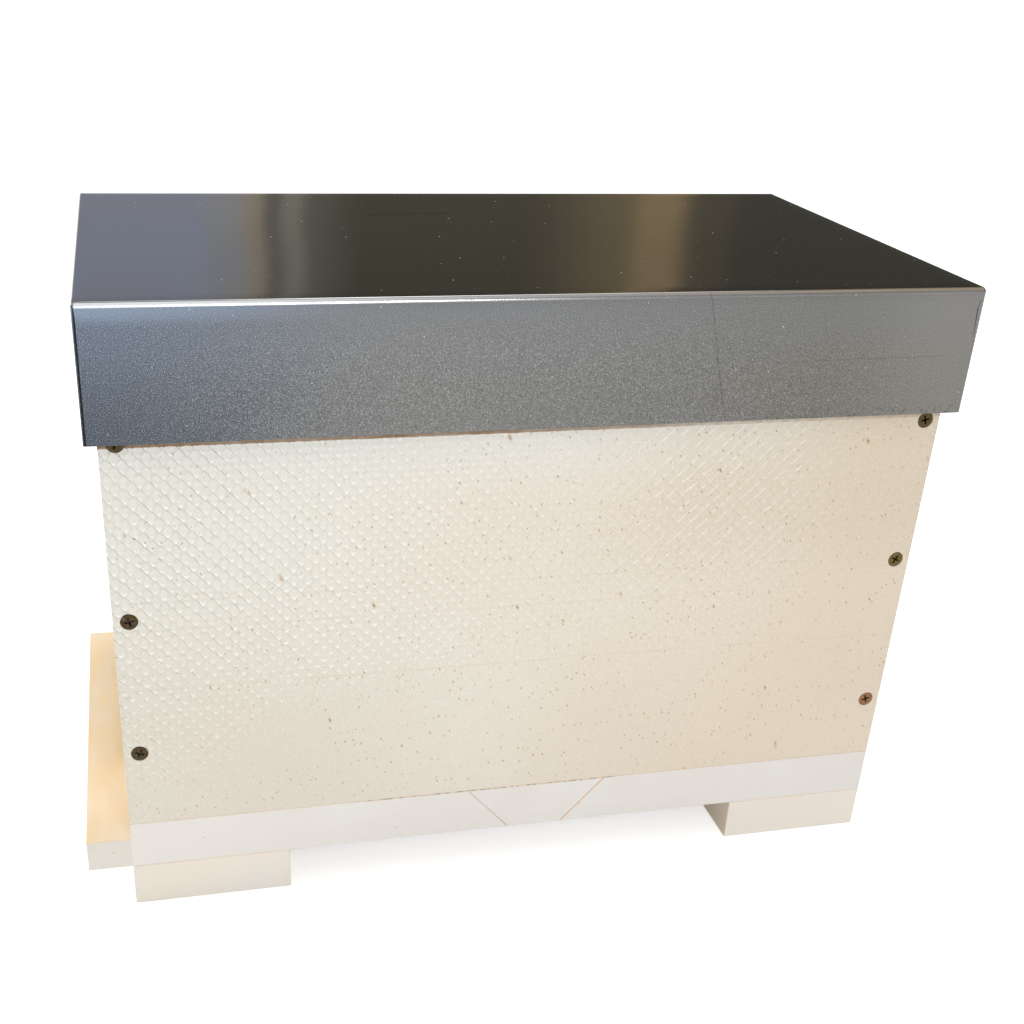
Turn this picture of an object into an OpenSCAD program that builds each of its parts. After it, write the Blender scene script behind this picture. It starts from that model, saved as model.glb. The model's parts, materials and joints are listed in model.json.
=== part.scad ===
// Nuc box: foam-board walls on a pieced floor with a landing board, two feet,
// a folded sheet roof over an inner cover, and a sliding entrance shutter.
// +X runs along the box away from the entrance, +Z is up, and the origin is on
// the ground under the middle of the whole part.

/* [Box] */
// Outside length of the walls
box_l = 510; // [460:1:560]
// Outside width of the walls
box_w = 280; // [250:1:320]
// Height of the walls
wall_h = 310; // [280:1:340]
// Thickness of the wall boards
wall_t = 30; // [27:0.5:34]

/* [Floor] */
// Thickness of the floor under the walls
floor_t = 32.5; // [28:0.5:40]
// Depth of the floor's recess, which is also the height of the entrance
floor_step = 11; // [8:0.5:14]
// Length of the landing in front of the box
landing_l = 27.5; // [20:0.5:45]
// Width of the entrance
entrance_w = 80; // [50:1:90]
// Place of the entrance's middle across the box
entrance_y = -10; // [-20:1:5]
// Distance from the box's front to the middle of the floor key
key_place = 266; // [240:1:290]
// Width of the floor key at its top
key_top_w = 95; // [80:1:110]
// Width of the floor key at its bottom
key_bottom_w = 37; // [30:1:60]
// Room between the floor key and each floor board
key_gap = 0.3; // [0.2:0.05:0.6]

/* [Feet] */
// Length of each foot along the box
foot_l = 100; // [60:1:130]
// Height of the feet
foot_h = 30; // [26:0.5:45]

/* [Inner cover] */
// Thickness of the inner cover
cover_t = 6; // [4:0.5:10]
// Distance of the inner cover's edge inside the walls' outer faces
cover_inset = 1; // [0.5:0.5:5]

/* [Roof] */
// Depth of the roof from its top to the edge of its skirt
roof_depth = 77; // [60:1:95]
// Thickness of the roof sheet
sheet_t = 0.6; // [0.5:0.1:1]
// Outside radius of the roof's bends
bend_r = 3; // [2:0.25:5]
// Room between the skirt and the end walls
roof_gap_l = 6.2; // [4:0.1:10]
// Room between the skirt and the side walls
roof_gap_w = 8.4; // [4:0.1:12]
// Thickness of the foam pad in the roof
pad_t = 15; // [10:0.5:25]
// Room between the pad's edge and the roof's bends
pad_gap = 0.5; // [0.3:0.1:2]

/* [Frame rests] */
// Depth of the rebate for the frame lugs in each end wall
rest_depth = 12; // [10:0.5:14]
// Height of the rebate for the frame lugs
rest_h = 22; // [18:0.5:28]
// Thickness of the frame rest strips
rest_t = 0.8; // [0.6:0.1:1.2]
// Room at each end of a frame rest strip
rest_gap = 0.3; // [0.2:0.1:1]
// Nails in each frame rest strip
rest_nail_count = 3; // [2:1:5]

/* [Entrance shutter] */
// Width of the shutter plate
shutter_w = 88; // [85:1:100]
// Height of the shutter plate
shutter_h = 30; // [28:0.5:36]
// Thickness of the shutter plate
shutter_t = 1; // [0.8:0.1:1.5]
// Room on each face of the shutter plate, and over and under it
shutter_gap = 0.2; // [0.2:0.05:0.4]
// Thickness of the shutter rail
rail_t = 0.8; // [0.6:0.1:1.2]
// Height of the rail's flange on the wall
rail_flange_h = 12; // [10:0.5:16]
// Height of the rail's lip in front of the shutter plate
rail_lip_h = 8; // [5:0.5:10]
// Thickness of the stops at the ends of the rail
rail_stop_t = 1.5; // [1:0.1:3]
// Ventilation slots in the shutter plate
slot_count = 9; // [5:1:11]
// Width of each ventilation slot
slot_w = 2.5; // [2:0.1:3]
// Diameter of the shutter's knob
knob_d = 10; // [7:0.5:11]
// Length of the shutter's knob
knob_l = 4.5; // [3.5:0.1:5.5]

/* [Screws] */
// Diameter of the screw shanks
screw_d = 5; // [4:0.1:6]
// Diameter of the countersunk heads
head_d = 10.4; // [8.5:0.1:12]
// Length of the screws in the walls and floor
screw_l = 70; // [55:1:80]
// Length of the screws in the feet
foot_screw_l = 45; // [38:0.5:48]
// Distance from the end of the box to the middle of the wall screws
screw_inset = 9.5; // [7:0.1:14]
// Radial room round the screws
screw_gap = 0.1; // [0.05:0.05:0.3]
// Screws in each foot
foot_screw_count = 3; // [2:1:4]

/* [Hidden] */
// Overrun of the cuts
over = 1;
round_fn = 48;

// Height of each wall screw as a share of the wall's height
front_screw_shares = [0.168, 0.461, 0.813];
rear_screw_shares = [0.142, 0.487, 0.797];

// Screw form: straight edge of the head, point, and cross recess
head_edge = 0.4;
screw_point = 9;
recess_l = 5.6;
recess_w = 1.3;
recess_depth = 2.4;
// Depth of the feet's screw heads under the feet's faces
foot_screw_sink = 1;
// Distance from the box's middle to the floor screws, and from a foot screw to the box's side
floor_screw_x = 110;
foot_screw_inset = 40;

// Nails of the frame rests
nail_d = 2;
nail_head_d = 5;
nail_head_t = 1;
nail_l = 14;
nail_inset = 20;

// Screws of the shutter rail
rail_screw_d = 3;
rail_screw_head_d = 6;
rail_screw_head_t = 1.8;
rail_screw_l = 16;
rail_screw_inset = 12;
rail_screw_count = 3;

// Ventilation slots and knob of the shutter
slot_h = 7;
slot_edge = 3;
knob_shank_d = 4;
knob_neck_t = 1.2;
knob_place = 16;

// Levels above the ground
recess_z = foot_h + floor_t - floor_step;
floor_top = foot_h + floor_t;
wall_top = floor_top + wall_h;
cover_top = wall_top + cover_t;
roof_top = cover_top + pad_t + sheet_t;
rebate_z = wall_top - rest_h;

// Places along the box, from the middle of its walls
front = -box_l / 2;
rear = box_l / 2;
inner_front = front + wall_t;
key_x = front + key_place;
rebate_front = inner_front - rest_depth;
screw_x = rear - screw_inset;

// Places across the box
side = box_w / 2;
inner_side = side - wall_t;

// Middle of the walls along the whole part
box_mid = (landing_l - roof_gap_l - sheet_t) / 2;

// Roof sizes inside the sheet
roof_in_l = box_l + 2 * roof_gap_l;
roof_in_w = box_w + 2 * roof_gap_w;

// Shutter places: the plate is drawn open, beside the entrance
shutter_low = recess_z + shutter_gap;
shutter_top = shutter_low + shutter_h;
closed_y = entrance_y - shutter_w / 2;
shutter_y = closed_y + shutter_w;
shutter_x = front - shutter_gap - shutter_t;
rail_web_z = shutter_top + shutter_gap;
rail_lip_x = shutter_x - shutter_gap - rail_t;
rail_start = closed_y - shutter_gap - rail_stop_t;
rail_end = shutter_y + shutter_w + shutter_gap + rail_stop_t;
rail_screw_z = rail_web_z + rail_t + (rail_flange_h - rail_t) / 2;

// Shared shapes

// A box between two opposite corners
module block(low, high) {
    translate(low) cube(high - low);
}

// Moves what is drawn about the middle of the walls to its place in the part
module at_box() {
    translate([box_mid, 0, 0]) children();
}

// Turns a front piece into its rear twin
module as_rear() {
    mirror([1, 0, 0]) children();
}

// Extrudes an XZ outline across the box
module across(width) {
    translate([0, width / 2, 0]) rotate([90, 0, 0]) linear_extrude(width) children();
}

// Extrudes a YZ outline along the box
module along(length) {
    translate([-length / 2, 0, 0])
        rotate([90, 0, 90])
            linear_extrude(length) children();
}

// Evenly spaced places between two ends
function spread(low, high, count) = [for (i = [0 : count - 1]) low + (high - low) * i / (count - 1)];

// Half outline of a countersunk screw, head up, grown all round by a clearance
function screw_outline(length, grow) =
    let (head = head_d / 2 + grow, shank = screw_d / 2 + grow)
    [
        [0, 0],
        [head, 0],
        [head, -head_edge],
        [shank, -head_edge - (head - shank)],
        [shank, -length + screw_point],
        [0, -length]
    ];

// Countersunk screw with a cross recess, its head's face at the origin
module screw(length) {
    difference() {
        rotate_extrude($fn = round_fn) polygon(screw_outline(length, 0));
        for (turn = [0, 90])
            rotate(turn)
                block([-recess_l / 2, -recess_w / 2, -recess_depth], [recess_l / 2, recess_w / 2, over]);
    }
}

// Hole for such a screw
module screw_hole(length) {
    rotate_extrude($fn = round_fn) polygon(screw_outline(length + screw_gap, screw_gap));
    cylinder(d = head_d + 2 * screw_gap, h = over, $fn = round_fn);
}

// Round-headed pin with its head's underside at the origin
module headed_pin(head_dia, head_t, dia, length) {
    rotate_extrude($fn = round_fn)
        polygon([
            [0, head_t],
            [head_dia / 4, head_t],
            [head_dia / 2, head_t / 2],
            [head_dia / 2, 0],
            [dia / 2, 0],
            [dia / 2, dia - length],
            [0, -length]
        ]);
}

// Hole for the shank of a headed pin
module pin_hole(dia, length) {
    translate([0, 0, -length - screw_gap])
        cylinder(d = dia + 2 * screw_gap, h = length + screw_gap + over, $fn = round_fn);
}

// Puts a screw at each wall screw's place on the left wall
module at_left_wall_screws() {
    for (share = front_screw_shares)
        translate([-screw_x, -side, floor_top + share * wall_h]) rotate([90, 0, 0]) children();
    for (share = rear_screw_shares)
        translate([screw_x, -side, floor_top + share * wall_h]) rotate([90, 0, 0]) children();
}

// Puts a screw at each wall screw's place on the right wall
module at_right_wall_screws() {
    mirror([0, 1, 0]) at_left_wall_screws() children();
}

// Puts a screw under the floor at each floor screw's place
module at_floor_screws() {
    for (x = [-floor_screw_x, floor_screw_x], y = [-side + wall_t / 2, side - wall_t / 2])
        translate([x, y, foot_h]) rotate([180, 0, 0]) children();
}

// Puts a screw under the front foot at each of its screws' places
module at_foot_screws() {
    for (y = spread(foot_screw_inset - side, side - foot_screw_inset, foot_screw_count))
        translate([front + foot_l / 2, y, foot_screw_sink]) rotate([180, 0, 0]) children();
}

// Puts a nail at each nail's place on the front frame rest
module at_rest_nails() {
    for (y = spread(nail_inset - inner_side, inner_side - nail_inset, rest_nail_count))
        translate([rebate_front + rest_t, y, rebate_z + rest_h / 2]) rotate([0, 90, 0]) children();
}

// Puts a screw at each of the shutter rail's screws' places, all of them in the front wall
module at_rail_screws() {
    last = min(rail_end, inner_side) - rail_screw_inset;
    for (y = spread(rail_start + rail_screw_inset, last, rail_screw_count))
        translate([front - rail_t, y, rail_screw_z]) rotate([0, -90, 0]) children();
}

// Walls

// Side wall on the left, with the holes for its own screws and the floor's
module side_wall_board() {
    difference() {
        block([front, -side, floor_top], [rear, -inner_side, wall_top]);
        at_left_wall_screws() screw_hole(screw_l);
        at_floor_screws() screw_hole(screw_l);
    }
}

// End wall at the front, with the rebate for the frame lugs
module end_wall_board() {
    difference() {
        block([front, -inner_side, floor_top], [inner_front, inner_side, wall_top]);
        block(
            [rebate_front, -inner_side - over, rebate_z],
            [inner_front + over, inner_side + over, wall_top + over]
        );
        at_rest_nails() pin_hole(nail_d, nail_l + rest_t);
    }
}

module left_side_wall() {
    color("ivory") at_box() side_wall_board();
}

module right_side_wall() {
    color("ivory") at_box() mirror([0, 1, 0]) side_wall_board();
}

module front_wall() {
    color("ivory") at_box() difference() {
        end_wall_board();
        at_left_wall_screws() screw_hole(screw_l);
        at_right_wall_screws() screw_hole(screw_l);
        at_rail_screws() pin_hole(rail_screw_d, rail_screw_l);
    }
}

module rear_wall() {
    color("ivory") at_box() difference() {
        as_rear() end_wall_board();
        at_left_wall_screws() screw_hole(screw_l);
        at_right_wall_screws() screw_hole(screw_l);
    }
}

module left_wall_screws() {
    color("darkgoldenrod") at_box() at_left_wall_screws() screw(screw_l);
}

module right_wall_screws() {
    color("darkgoldenrod") at_box() at_right_wall_screws() screw(screw_l);
}

// Floor

// Recess of the floor inside the walls
module floor_recess() {
    block([inner_front, -inner_side, recess_z], [-inner_front, inner_side, floor_top + over]);
}

module front_floor_board() {
    color("linen") at_box() difference() {
        across(box_w) polygon([
            [front - landing_l, foot_h],
            [key_x - key_bottom_w / 2 - key_gap, foot_h],
            [key_x - key_top_w / 2 - key_gap, floor_top],
            [front, floor_top],
            [front, recess_z],
            [front - landing_l, recess_z]
        ]);
        floor_recess();
        block(
            [front - over, entrance_y - entrance_w / 2, recess_z],
            [inner_front + over, entrance_y + entrance_w / 2, floor_top + over]
        );
        at_floor_screws() screw_hole(screw_l);
        at_foot_screws() screw_hole(foot_screw_l);
    }
}

module floor_key() {
    color("linen") at_box() difference() {
        across(box_w) polygon([
            [key_x - key_bottom_w / 2, foot_h],
            [key_x + key_bottom_w / 2, foot_h],
            [key_x + key_top_w / 2, floor_top],
            [key_x - key_top_w / 2, floor_top]
        ]);
        floor_recess();
    }
}

module rear_floor_board() {
    color("linen") at_box() difference() {
        across(box_w) polygon([
            [key_x + key_bottom_w / 2 + key_gap, foot_h],
            [rear, foot_h],
            [rear, floor_top],
            [key_x + key_top_w / 2 + key_gap, floor_top]
        ]);
        floor_recess();
        at_floor_screws() screw_hole(screw_l);
        as_rear() at_foot_screws() screw_hole(foot_screw_l);
    }
}

module floor_screws() {
    color("darkgoldenrod") at_box() at_floor_screws() screw(screw_l);
}

// Feet

module foot_batten() {
    difference() {
        block([front, -side, 0], [front + foot_l, side, foot_h]);
        at_foot_screws() screw_hole(foot_screw_l);
        at_foot_screws()
            cylinder(d = head_d + 2 * screw_gap, h = foot_screw_sink + over, $fn = round_fn);
    }
}

module front_foot() {
    color("antiquewhite") at_box() foot_batten();
}

module rear_foot() {
    color("antiquewhite") at_box() as_rear() foot_batten();
}

module front_foot_screws() {
    color("darkgoldenrod") at_box() at_foot_screws() screw(foot_screw_l);
}

module rear_foot_screws() {
    color("darkgoldenrod") at_box() as_rear() at_foot_screws() screw(foot_screw_l);
}

// Frame rests

// L strip in the front rebate
module rest_strip() {
    difference() {
        union() {
            block(
                [rebate_front, rest_gap - inner_side, rebate_z],
                [rebate_front + rest_t, inner_side - rest_gap, wall_top - rest_gap]
            );
            block(
                [rebate_front, rest_gap - inner_side, rebate_z],
                [inner_front, inner_side - rest_gap, rebate_z + rest_t]
            );
        }
        at_rest_nails() pin_hole(nail_d, nail_l);
    }
}

module rest_nail() {
    headed_pin(nail_head_d, nail_head_t, nail_d, nail_l);
}

module front_frame_rest() {
    color("silver") at_box() rest_strip();
}

module rear_frame_rest() {
    color("silver") at_box() as_rear() rest_strip();
}

module front_rest_nails() {
    color("gray") at_box() at_rest_nails() rest_nail();
}

module rear_rest_nails() {
    color("gray") at_box() as_rear() at_rest_nails() rest_nail();
}

// Entrance shutter

// Ventilated plate, open beside the entrance
module entrance_shutter() {
    slot_inset = slot_edge + slot_w / 2;
    color("silver") at_box() difference() {
        block(
            [shutter_x, shutter_y, shutter_low],
            [shutter_x + shutter_t, shutter_y + shutter_w, shutter_top]
        );
        for (y = spread(shutter_y + slot_inset, shutter_y + shutter_w - slot_inset, slot_count))
            block(
                [shutter_x - over, y - slot_w / 2, shutter_low + slot_edge],
                [shutter_x + shutter_t + over, y + slot_w / 2, shutter_low + slot_edge + slot_h]
            );
        translate([shutter_x, shutter_y + shutter_w / 2, shutter_low + knob_place])
            rotate([0, -90, 0]) pin_hole(knob_shank_d, shutter_t + over);
    }
}

// Knob with a riveted shank
module shutter_knob() {
    color("dimgray") at_box()
        translate([shutter_x, shutter_y + shutter_w / 2, shutter_low + knob_place])
            rotate([0, -90, 0])
                rotate_extrude($fn = round_fn)
                    polygon([
                        [0, -shutter_t],
                        [knob_shank_d / 2, -shutter_t],
                        [knob_shank_d / 2, 0],
                        [knob_d / 2 - knob_neck_t, 0],
                        [knob_d / 2 - knob_neck_t, knob_neck_t],
                        [knob_d / 2, 2 * knob_neck_t],
                        [knob_d / 2, knob_l - knob_neck_t / 2],
                        [knob_d / 2 - knob_neck_t / 2, knob_l],
                        [0, knob_l]
                    ]);
}

// Z-shaped rail with a stop at each end
module shutter_rail() {
    color("silver") at_box() difference() {
        union() {
            block([front - rail_t, rail_start, rail_web_z], [front, rail_end, rail_web_z + rail_flange_h]);
            block([rail_lip_x, rail_start, rail_web_z], [front, rail_end, rail_web_z + rail_t]);
            block(
                [rail_lip_x, rail_start, rail_web_z - rail_lip_h],
                [rail_lip_x + rail_t, rail_end, rail_web_z + rail_t]
            );
            for (y = [rail_start, rail_end - rail_stop_t])
                block(
                    [rail_lip_x, y, rail_web_z - rail_lip_h],
                    [front, y + rail_stop_t, rail_web_z + rail_t]
                );
        }
        at_rail_screws() pin_hole(rail_screw_d, rail_screw_l);
    }
}

module shutter_rail_screws() {
    color("lightgray") at_box() at_rail_screws()
        headed_pin(rail_screw_head_d, rail_screw_head_t, rail_screw_d, rail_screw_l);
}

// Cover and roof

module inner_cover() {
    color("burlywood") at_box()
        block(
            [front + cover_inset, cover_inset - side, wall_top],
            [rear - cover_inset, side - cover_inset, cover_top]
        );
}

module roof_insulation() {
    edge = bend_r - sheet_t + pad_gap;
    color("whitesmoke") at_box()
        block(
            [edge - roof_in_l / 2, edge - roof_in_w / 2, cover_top],
            [roof_in_l / 2 - edge, roof_in_w / 2 - edge, cover_top + pad_t]
        );
}

// Upright outline with round upper corners, standing on its base line
module arched_outline(width, height, radius) {
    translate([-width / 2, 0]) square([width, height - radius]);
    translate([radius - width / 2, 0]) square([width - 2 * radius, height]);
    for (x = [radius - width / 2, width / 2 - radius])
        translate([x, height - radius]) circle(r = radius, $fn = round_fn);
}

// Flat outline with four round corners
module rounded_outline(length, width, radius) {
    square([length, width - 2 * radius], center = true);
    square([length - 2 * radius, width], center = true);
    for (x = [radius - length / 2, length / 2 - radius], y = [radius - width / 2, width / 2 - radius])
        translate([x, y]) circle(r = radius, $fn = round_fn);
}

// Block with round upper edges and round upright corners
module folded_form(length, width, height, radius) {
    intersection() {
        along(length) arched_outline(width, height, radius);
        across(width) arched_outline(length, height, radius);
        linear_extrude(height) rounded_outline(length, width, radius);
    }
}

module roof_sheet() {
    color("slategray") at_box() difference() {
        translate([0, 0, roof_top - roof_depth])
            folded_form(roof_in_l + 2 * sheet_t, roof_in_w + 2 * sheet_t, roof_depth, bend_r);
        translate([0, 0, roof_top - roof_depth - over])
            folded_form(roof_in_l, roof_in_w, roof_depth - sheet_t + over, bend_r - sheet_t);
    }
}

roof_sheet();
roof_insulation();
inner_cover();
left_side_wall();
right_side_wall();
front_wall();
rear_wall();
front_floor_board();
floor_key();
rear_floor_board();
front_foot();
rear_foot();
front_frame_rest();
rear_frame_rest();
front_rest_nails();
rear_rest_nails();
left_wall_screws();
right_wall_screws();
floor_screws();
front_foot_screws();
rear_foot_screws();
entrance_shutter();
shutter_knob();
shutter_rail();
shutter_rail_screws();
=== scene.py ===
"""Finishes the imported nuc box: embossed foam walls, pieced floor, feet, folded sheet roof and fixings.

Lengths are in metres, or in millimetres inside the finishes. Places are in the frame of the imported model.
"""

import json
import math

import bmesh
import bpy
from mathutils import Matrix, Vector


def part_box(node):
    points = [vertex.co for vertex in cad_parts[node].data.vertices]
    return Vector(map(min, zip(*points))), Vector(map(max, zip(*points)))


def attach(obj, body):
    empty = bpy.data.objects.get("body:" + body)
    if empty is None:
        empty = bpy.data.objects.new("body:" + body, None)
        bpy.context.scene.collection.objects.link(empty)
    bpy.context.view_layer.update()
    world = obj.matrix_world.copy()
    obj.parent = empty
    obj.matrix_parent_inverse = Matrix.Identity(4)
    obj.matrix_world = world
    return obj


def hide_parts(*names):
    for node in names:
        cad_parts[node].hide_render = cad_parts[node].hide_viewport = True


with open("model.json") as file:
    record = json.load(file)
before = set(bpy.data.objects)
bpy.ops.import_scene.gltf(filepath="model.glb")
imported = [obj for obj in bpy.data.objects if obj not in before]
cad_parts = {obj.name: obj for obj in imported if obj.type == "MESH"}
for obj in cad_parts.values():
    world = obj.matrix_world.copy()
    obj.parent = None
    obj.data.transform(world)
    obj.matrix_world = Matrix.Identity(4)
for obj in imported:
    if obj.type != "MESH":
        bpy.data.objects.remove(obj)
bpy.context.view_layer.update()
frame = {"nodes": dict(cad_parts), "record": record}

bl_info = {
    "name": "Nuc Box Finish",
    "version": (1, 0, 0),
    "blender": (4, 5, 0),
    "location": "3D View > Sidebar > Nuc Box",
    "description": "Dresses the solids of a foam nuc box with shaped pieces and procedural finishes",
    "category": "Object",
}

MM = 0.001
TO_MM = 1000.0
BODIES = frame["record"]["behaviour"]["bodies"]
BODY_OF = {node: body for body, nodes in BODIES.items() for node in nodes}

# Tolerances for copies of the CAD meshes
MERGE = 1e-6
FLAT = math.radians(1.0)
SHARP = math.radians(30.0)
LONG_EDGE = 8 * MM
FACING = 0.9999
AXES = (Vector((1, 0, 0)), Vector((0, 1, 0)), Vector((0, 0, 1)))

# Angles in degrees past which an edge shades sharp
BOARD_CREASE = 50
WALL_CREASE = 66
ROOF_CREASE = 32
FIXING_CREASE = 35

# Embossed skin: how far its corners stray, how deep it lies under the wall's face, and its spare cells
STRAY = 2.8 * MM
SKIN_SINK = 0.02 * MM
SPARE_CELLS = 4

# Seeded noise that moves the diamonds' corners, and noise that varies the dimples' depth in patches
STRAY_NOISE = {"W": 1.3, "Scale": 410.0, "Detail": 0.0}
PATCH_NOISE = {"W": 3.7, "Scale": 8.0, "Detail": 1.0}

# The two steps of a dimple: share of its depth, and width against the step before
DIMPLE_STEPS = ((0.84, 0.78), (0.16, 0.5))

# Half the difference between the floor key's width at its top and at its bottom, in millimetres
KEY_TAPER = 29.0

# Rubbed lines across the walls: height in millimetres, and weight
WALL_LINES = ((217.0, 0.20), (198.5, 0.16), (158.5, 0.30))

# Flecks in the foam skin: shift, cell, stretch, radius, share, lean, weight of the halo, weight of the core
SKIN_FLECKS = (
    (0.0, 5.6, 2.2, 0.25, 0.60, 0.55, 0.24, 0.72),
    (31.0, 6.6, 2.4, 0.23, 0.55, -0.5, 0.28, 0.64),
    (77.0, 42.0, 1.9, 0.62, 0.6, 0.3, 0.55, 0.62),
)

# Cross recesses: span, width of a bar, depth, and taper
SCREW_RECESS = (5.8 * MM, 1.25 * MM, 2.4 * MM, 2.6 * MM)
RAIL_RECESS = (3.4 * MM, 0.8 * MM, 1.3 * MM, 1.2 * MM)

# The bars that cut a recess: height over the head, and width at the bottom against the top
RECESS_OVER = 0.6 * MM
RECESS_NARROW = 0.72

# Room left at the ends, at the bottom and at the mouth of a recess where its inside is marked
RECESS_ENDS = 0.05 * MM
RECESS_BOTTOM = 0.1 * MM
RECESS_MOUTH = 0.25 * MM

# Domed fixings: diameter and height of the head, diameter and length of the shank
NAIL = (5 * MM, 1 * MM, 2 * MM, 14 * MM)
RAIL_SCREW = (6 * MM, 1.8 * MM, 3 * MM, 16 * MM)

# Countersunk screws: greatest length, and length of the taper and of the point
SCREW_LONG = 70 * MM
SCREW_TAPER = 9 * MM
SCREW_POINT = 1.2 * MM

# Sides of a turned screw and of a turned nail
SCREW_STEPS = 40
NAIL_STEPS = 32

# Camera fitted to the corners of the box: place in metres, turn in degrees, lens and sensor in millimetres
CAMERA_PLACE = (-0.22051, -0.84410, 0.57438)
CAMERA_TURN = (62.3534, -2.4080, -13.0973)
CAMERA_LENS = 46.889
CAMERA_SENSOR = 36.0
CAMERA_SHIFT = (0.05484, 0.10220)
CAMERA_REACH = 200.0

# Studio floor: half its width, how far it lies under the feet, its glow, and more of it for the camera
FLOOR_REACH = 60.0
FLOOR_DROP = 0.2 * MM
FLOOR_GLOW = 0.36
CAMERA_GLOW = 1.3

# Lamps: name, place, aim, size, power and tint
LAMPS = (
    ("Key", (0.05, -1.16, 0.76), (0.0, -0.1, 0.22), 0.3, 3.4, (0.985, 0.985, 0.96)),
    ("Entrance side", (-1.1, 0.3, 1.0), (-0.25, 0.0, 0.1), 0.7, 8.5, (1.0, 0.98, 0.95)),
    ("Far side", (0.5, 1.0, 2.1), (0.0, 0.05, 0.22), 1.0, 6.0, (1.0, 0.99, 0.97)),
)


def box_mm(node):
    """The low and the high corner of a CAD node's box, in millimetres."""
    low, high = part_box(node)
    return low * TO_MM, high * TO_MM


def length(name, description, default):
    """A length property, given in millimetres."""
    return bpy.props.FloatProperty(
        name=name, description=description, default=default * MM,
        subtype="DISTANCE", unit="LENGTH", precision=5,
    )


def colour(name, description, default):
    """A colour property, given as a linear colour."""
    return bpy.props.FloatVectorProperty(
        name=name, description=description, default=default, subtype="COLOR", size=3, min=0.0, max=1.0
    )


class NucBoxSizes(bpy.types.PropertyGroup):
    """Sizes of the forms that the CAD solids leave plain"""

    diamond: length("Diamond", "Diagonal of one diamond of the embossed wall skin", 8.82)
    emboss: length("Emboss", "Depth of the dimples in the embossed wall skin", 0.75)
    emboss_lift: length("Emboss lift", "How far each dimple's deepest place lies above its middle", 2.0)
    board_edge: length("Board edge", "Easing of the feet's and roof pad's edges", 0.7)
    joint_edge: length("Joint edge", "Easing of the walls' and floor boards' edges", 0.35)
    thin_edge: length("Thin edge", "Easing of the inner cover's edges", 0.4)
    sheet: length("Sheet", "Thickness of the roof sheet", 0.6)
    bend: length("Bend", "Outside radius of the roof's bends", 3.0)
    corner: length("Corner", "Outside radius of the roof's upright corners", 0.9)
    seam: length("Seam", "Width of the tab that shows beside the roof's upright corners", 0.9)
    seam_bulge: length("Seam bulge", "Extra width of the tab at the near rear corner", 2.6)
    seam_step: length("Seam step", "Depth of the tab behind the roof's long flanges", 0.4)
    sheet_wave: length("Sheet wave", "Height of the slow waves in the roof sheet", 0.3)
    head_sink: length("Head sink", "Depth of the wall screws' heads under the skin", 0.35)
    head_dia: length("Head diameter", "Diameter of the countersunk heads", 10.4)
    shank_dia: length("Shank diameter", "Diameter of the screw shanks", 5.0)


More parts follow.
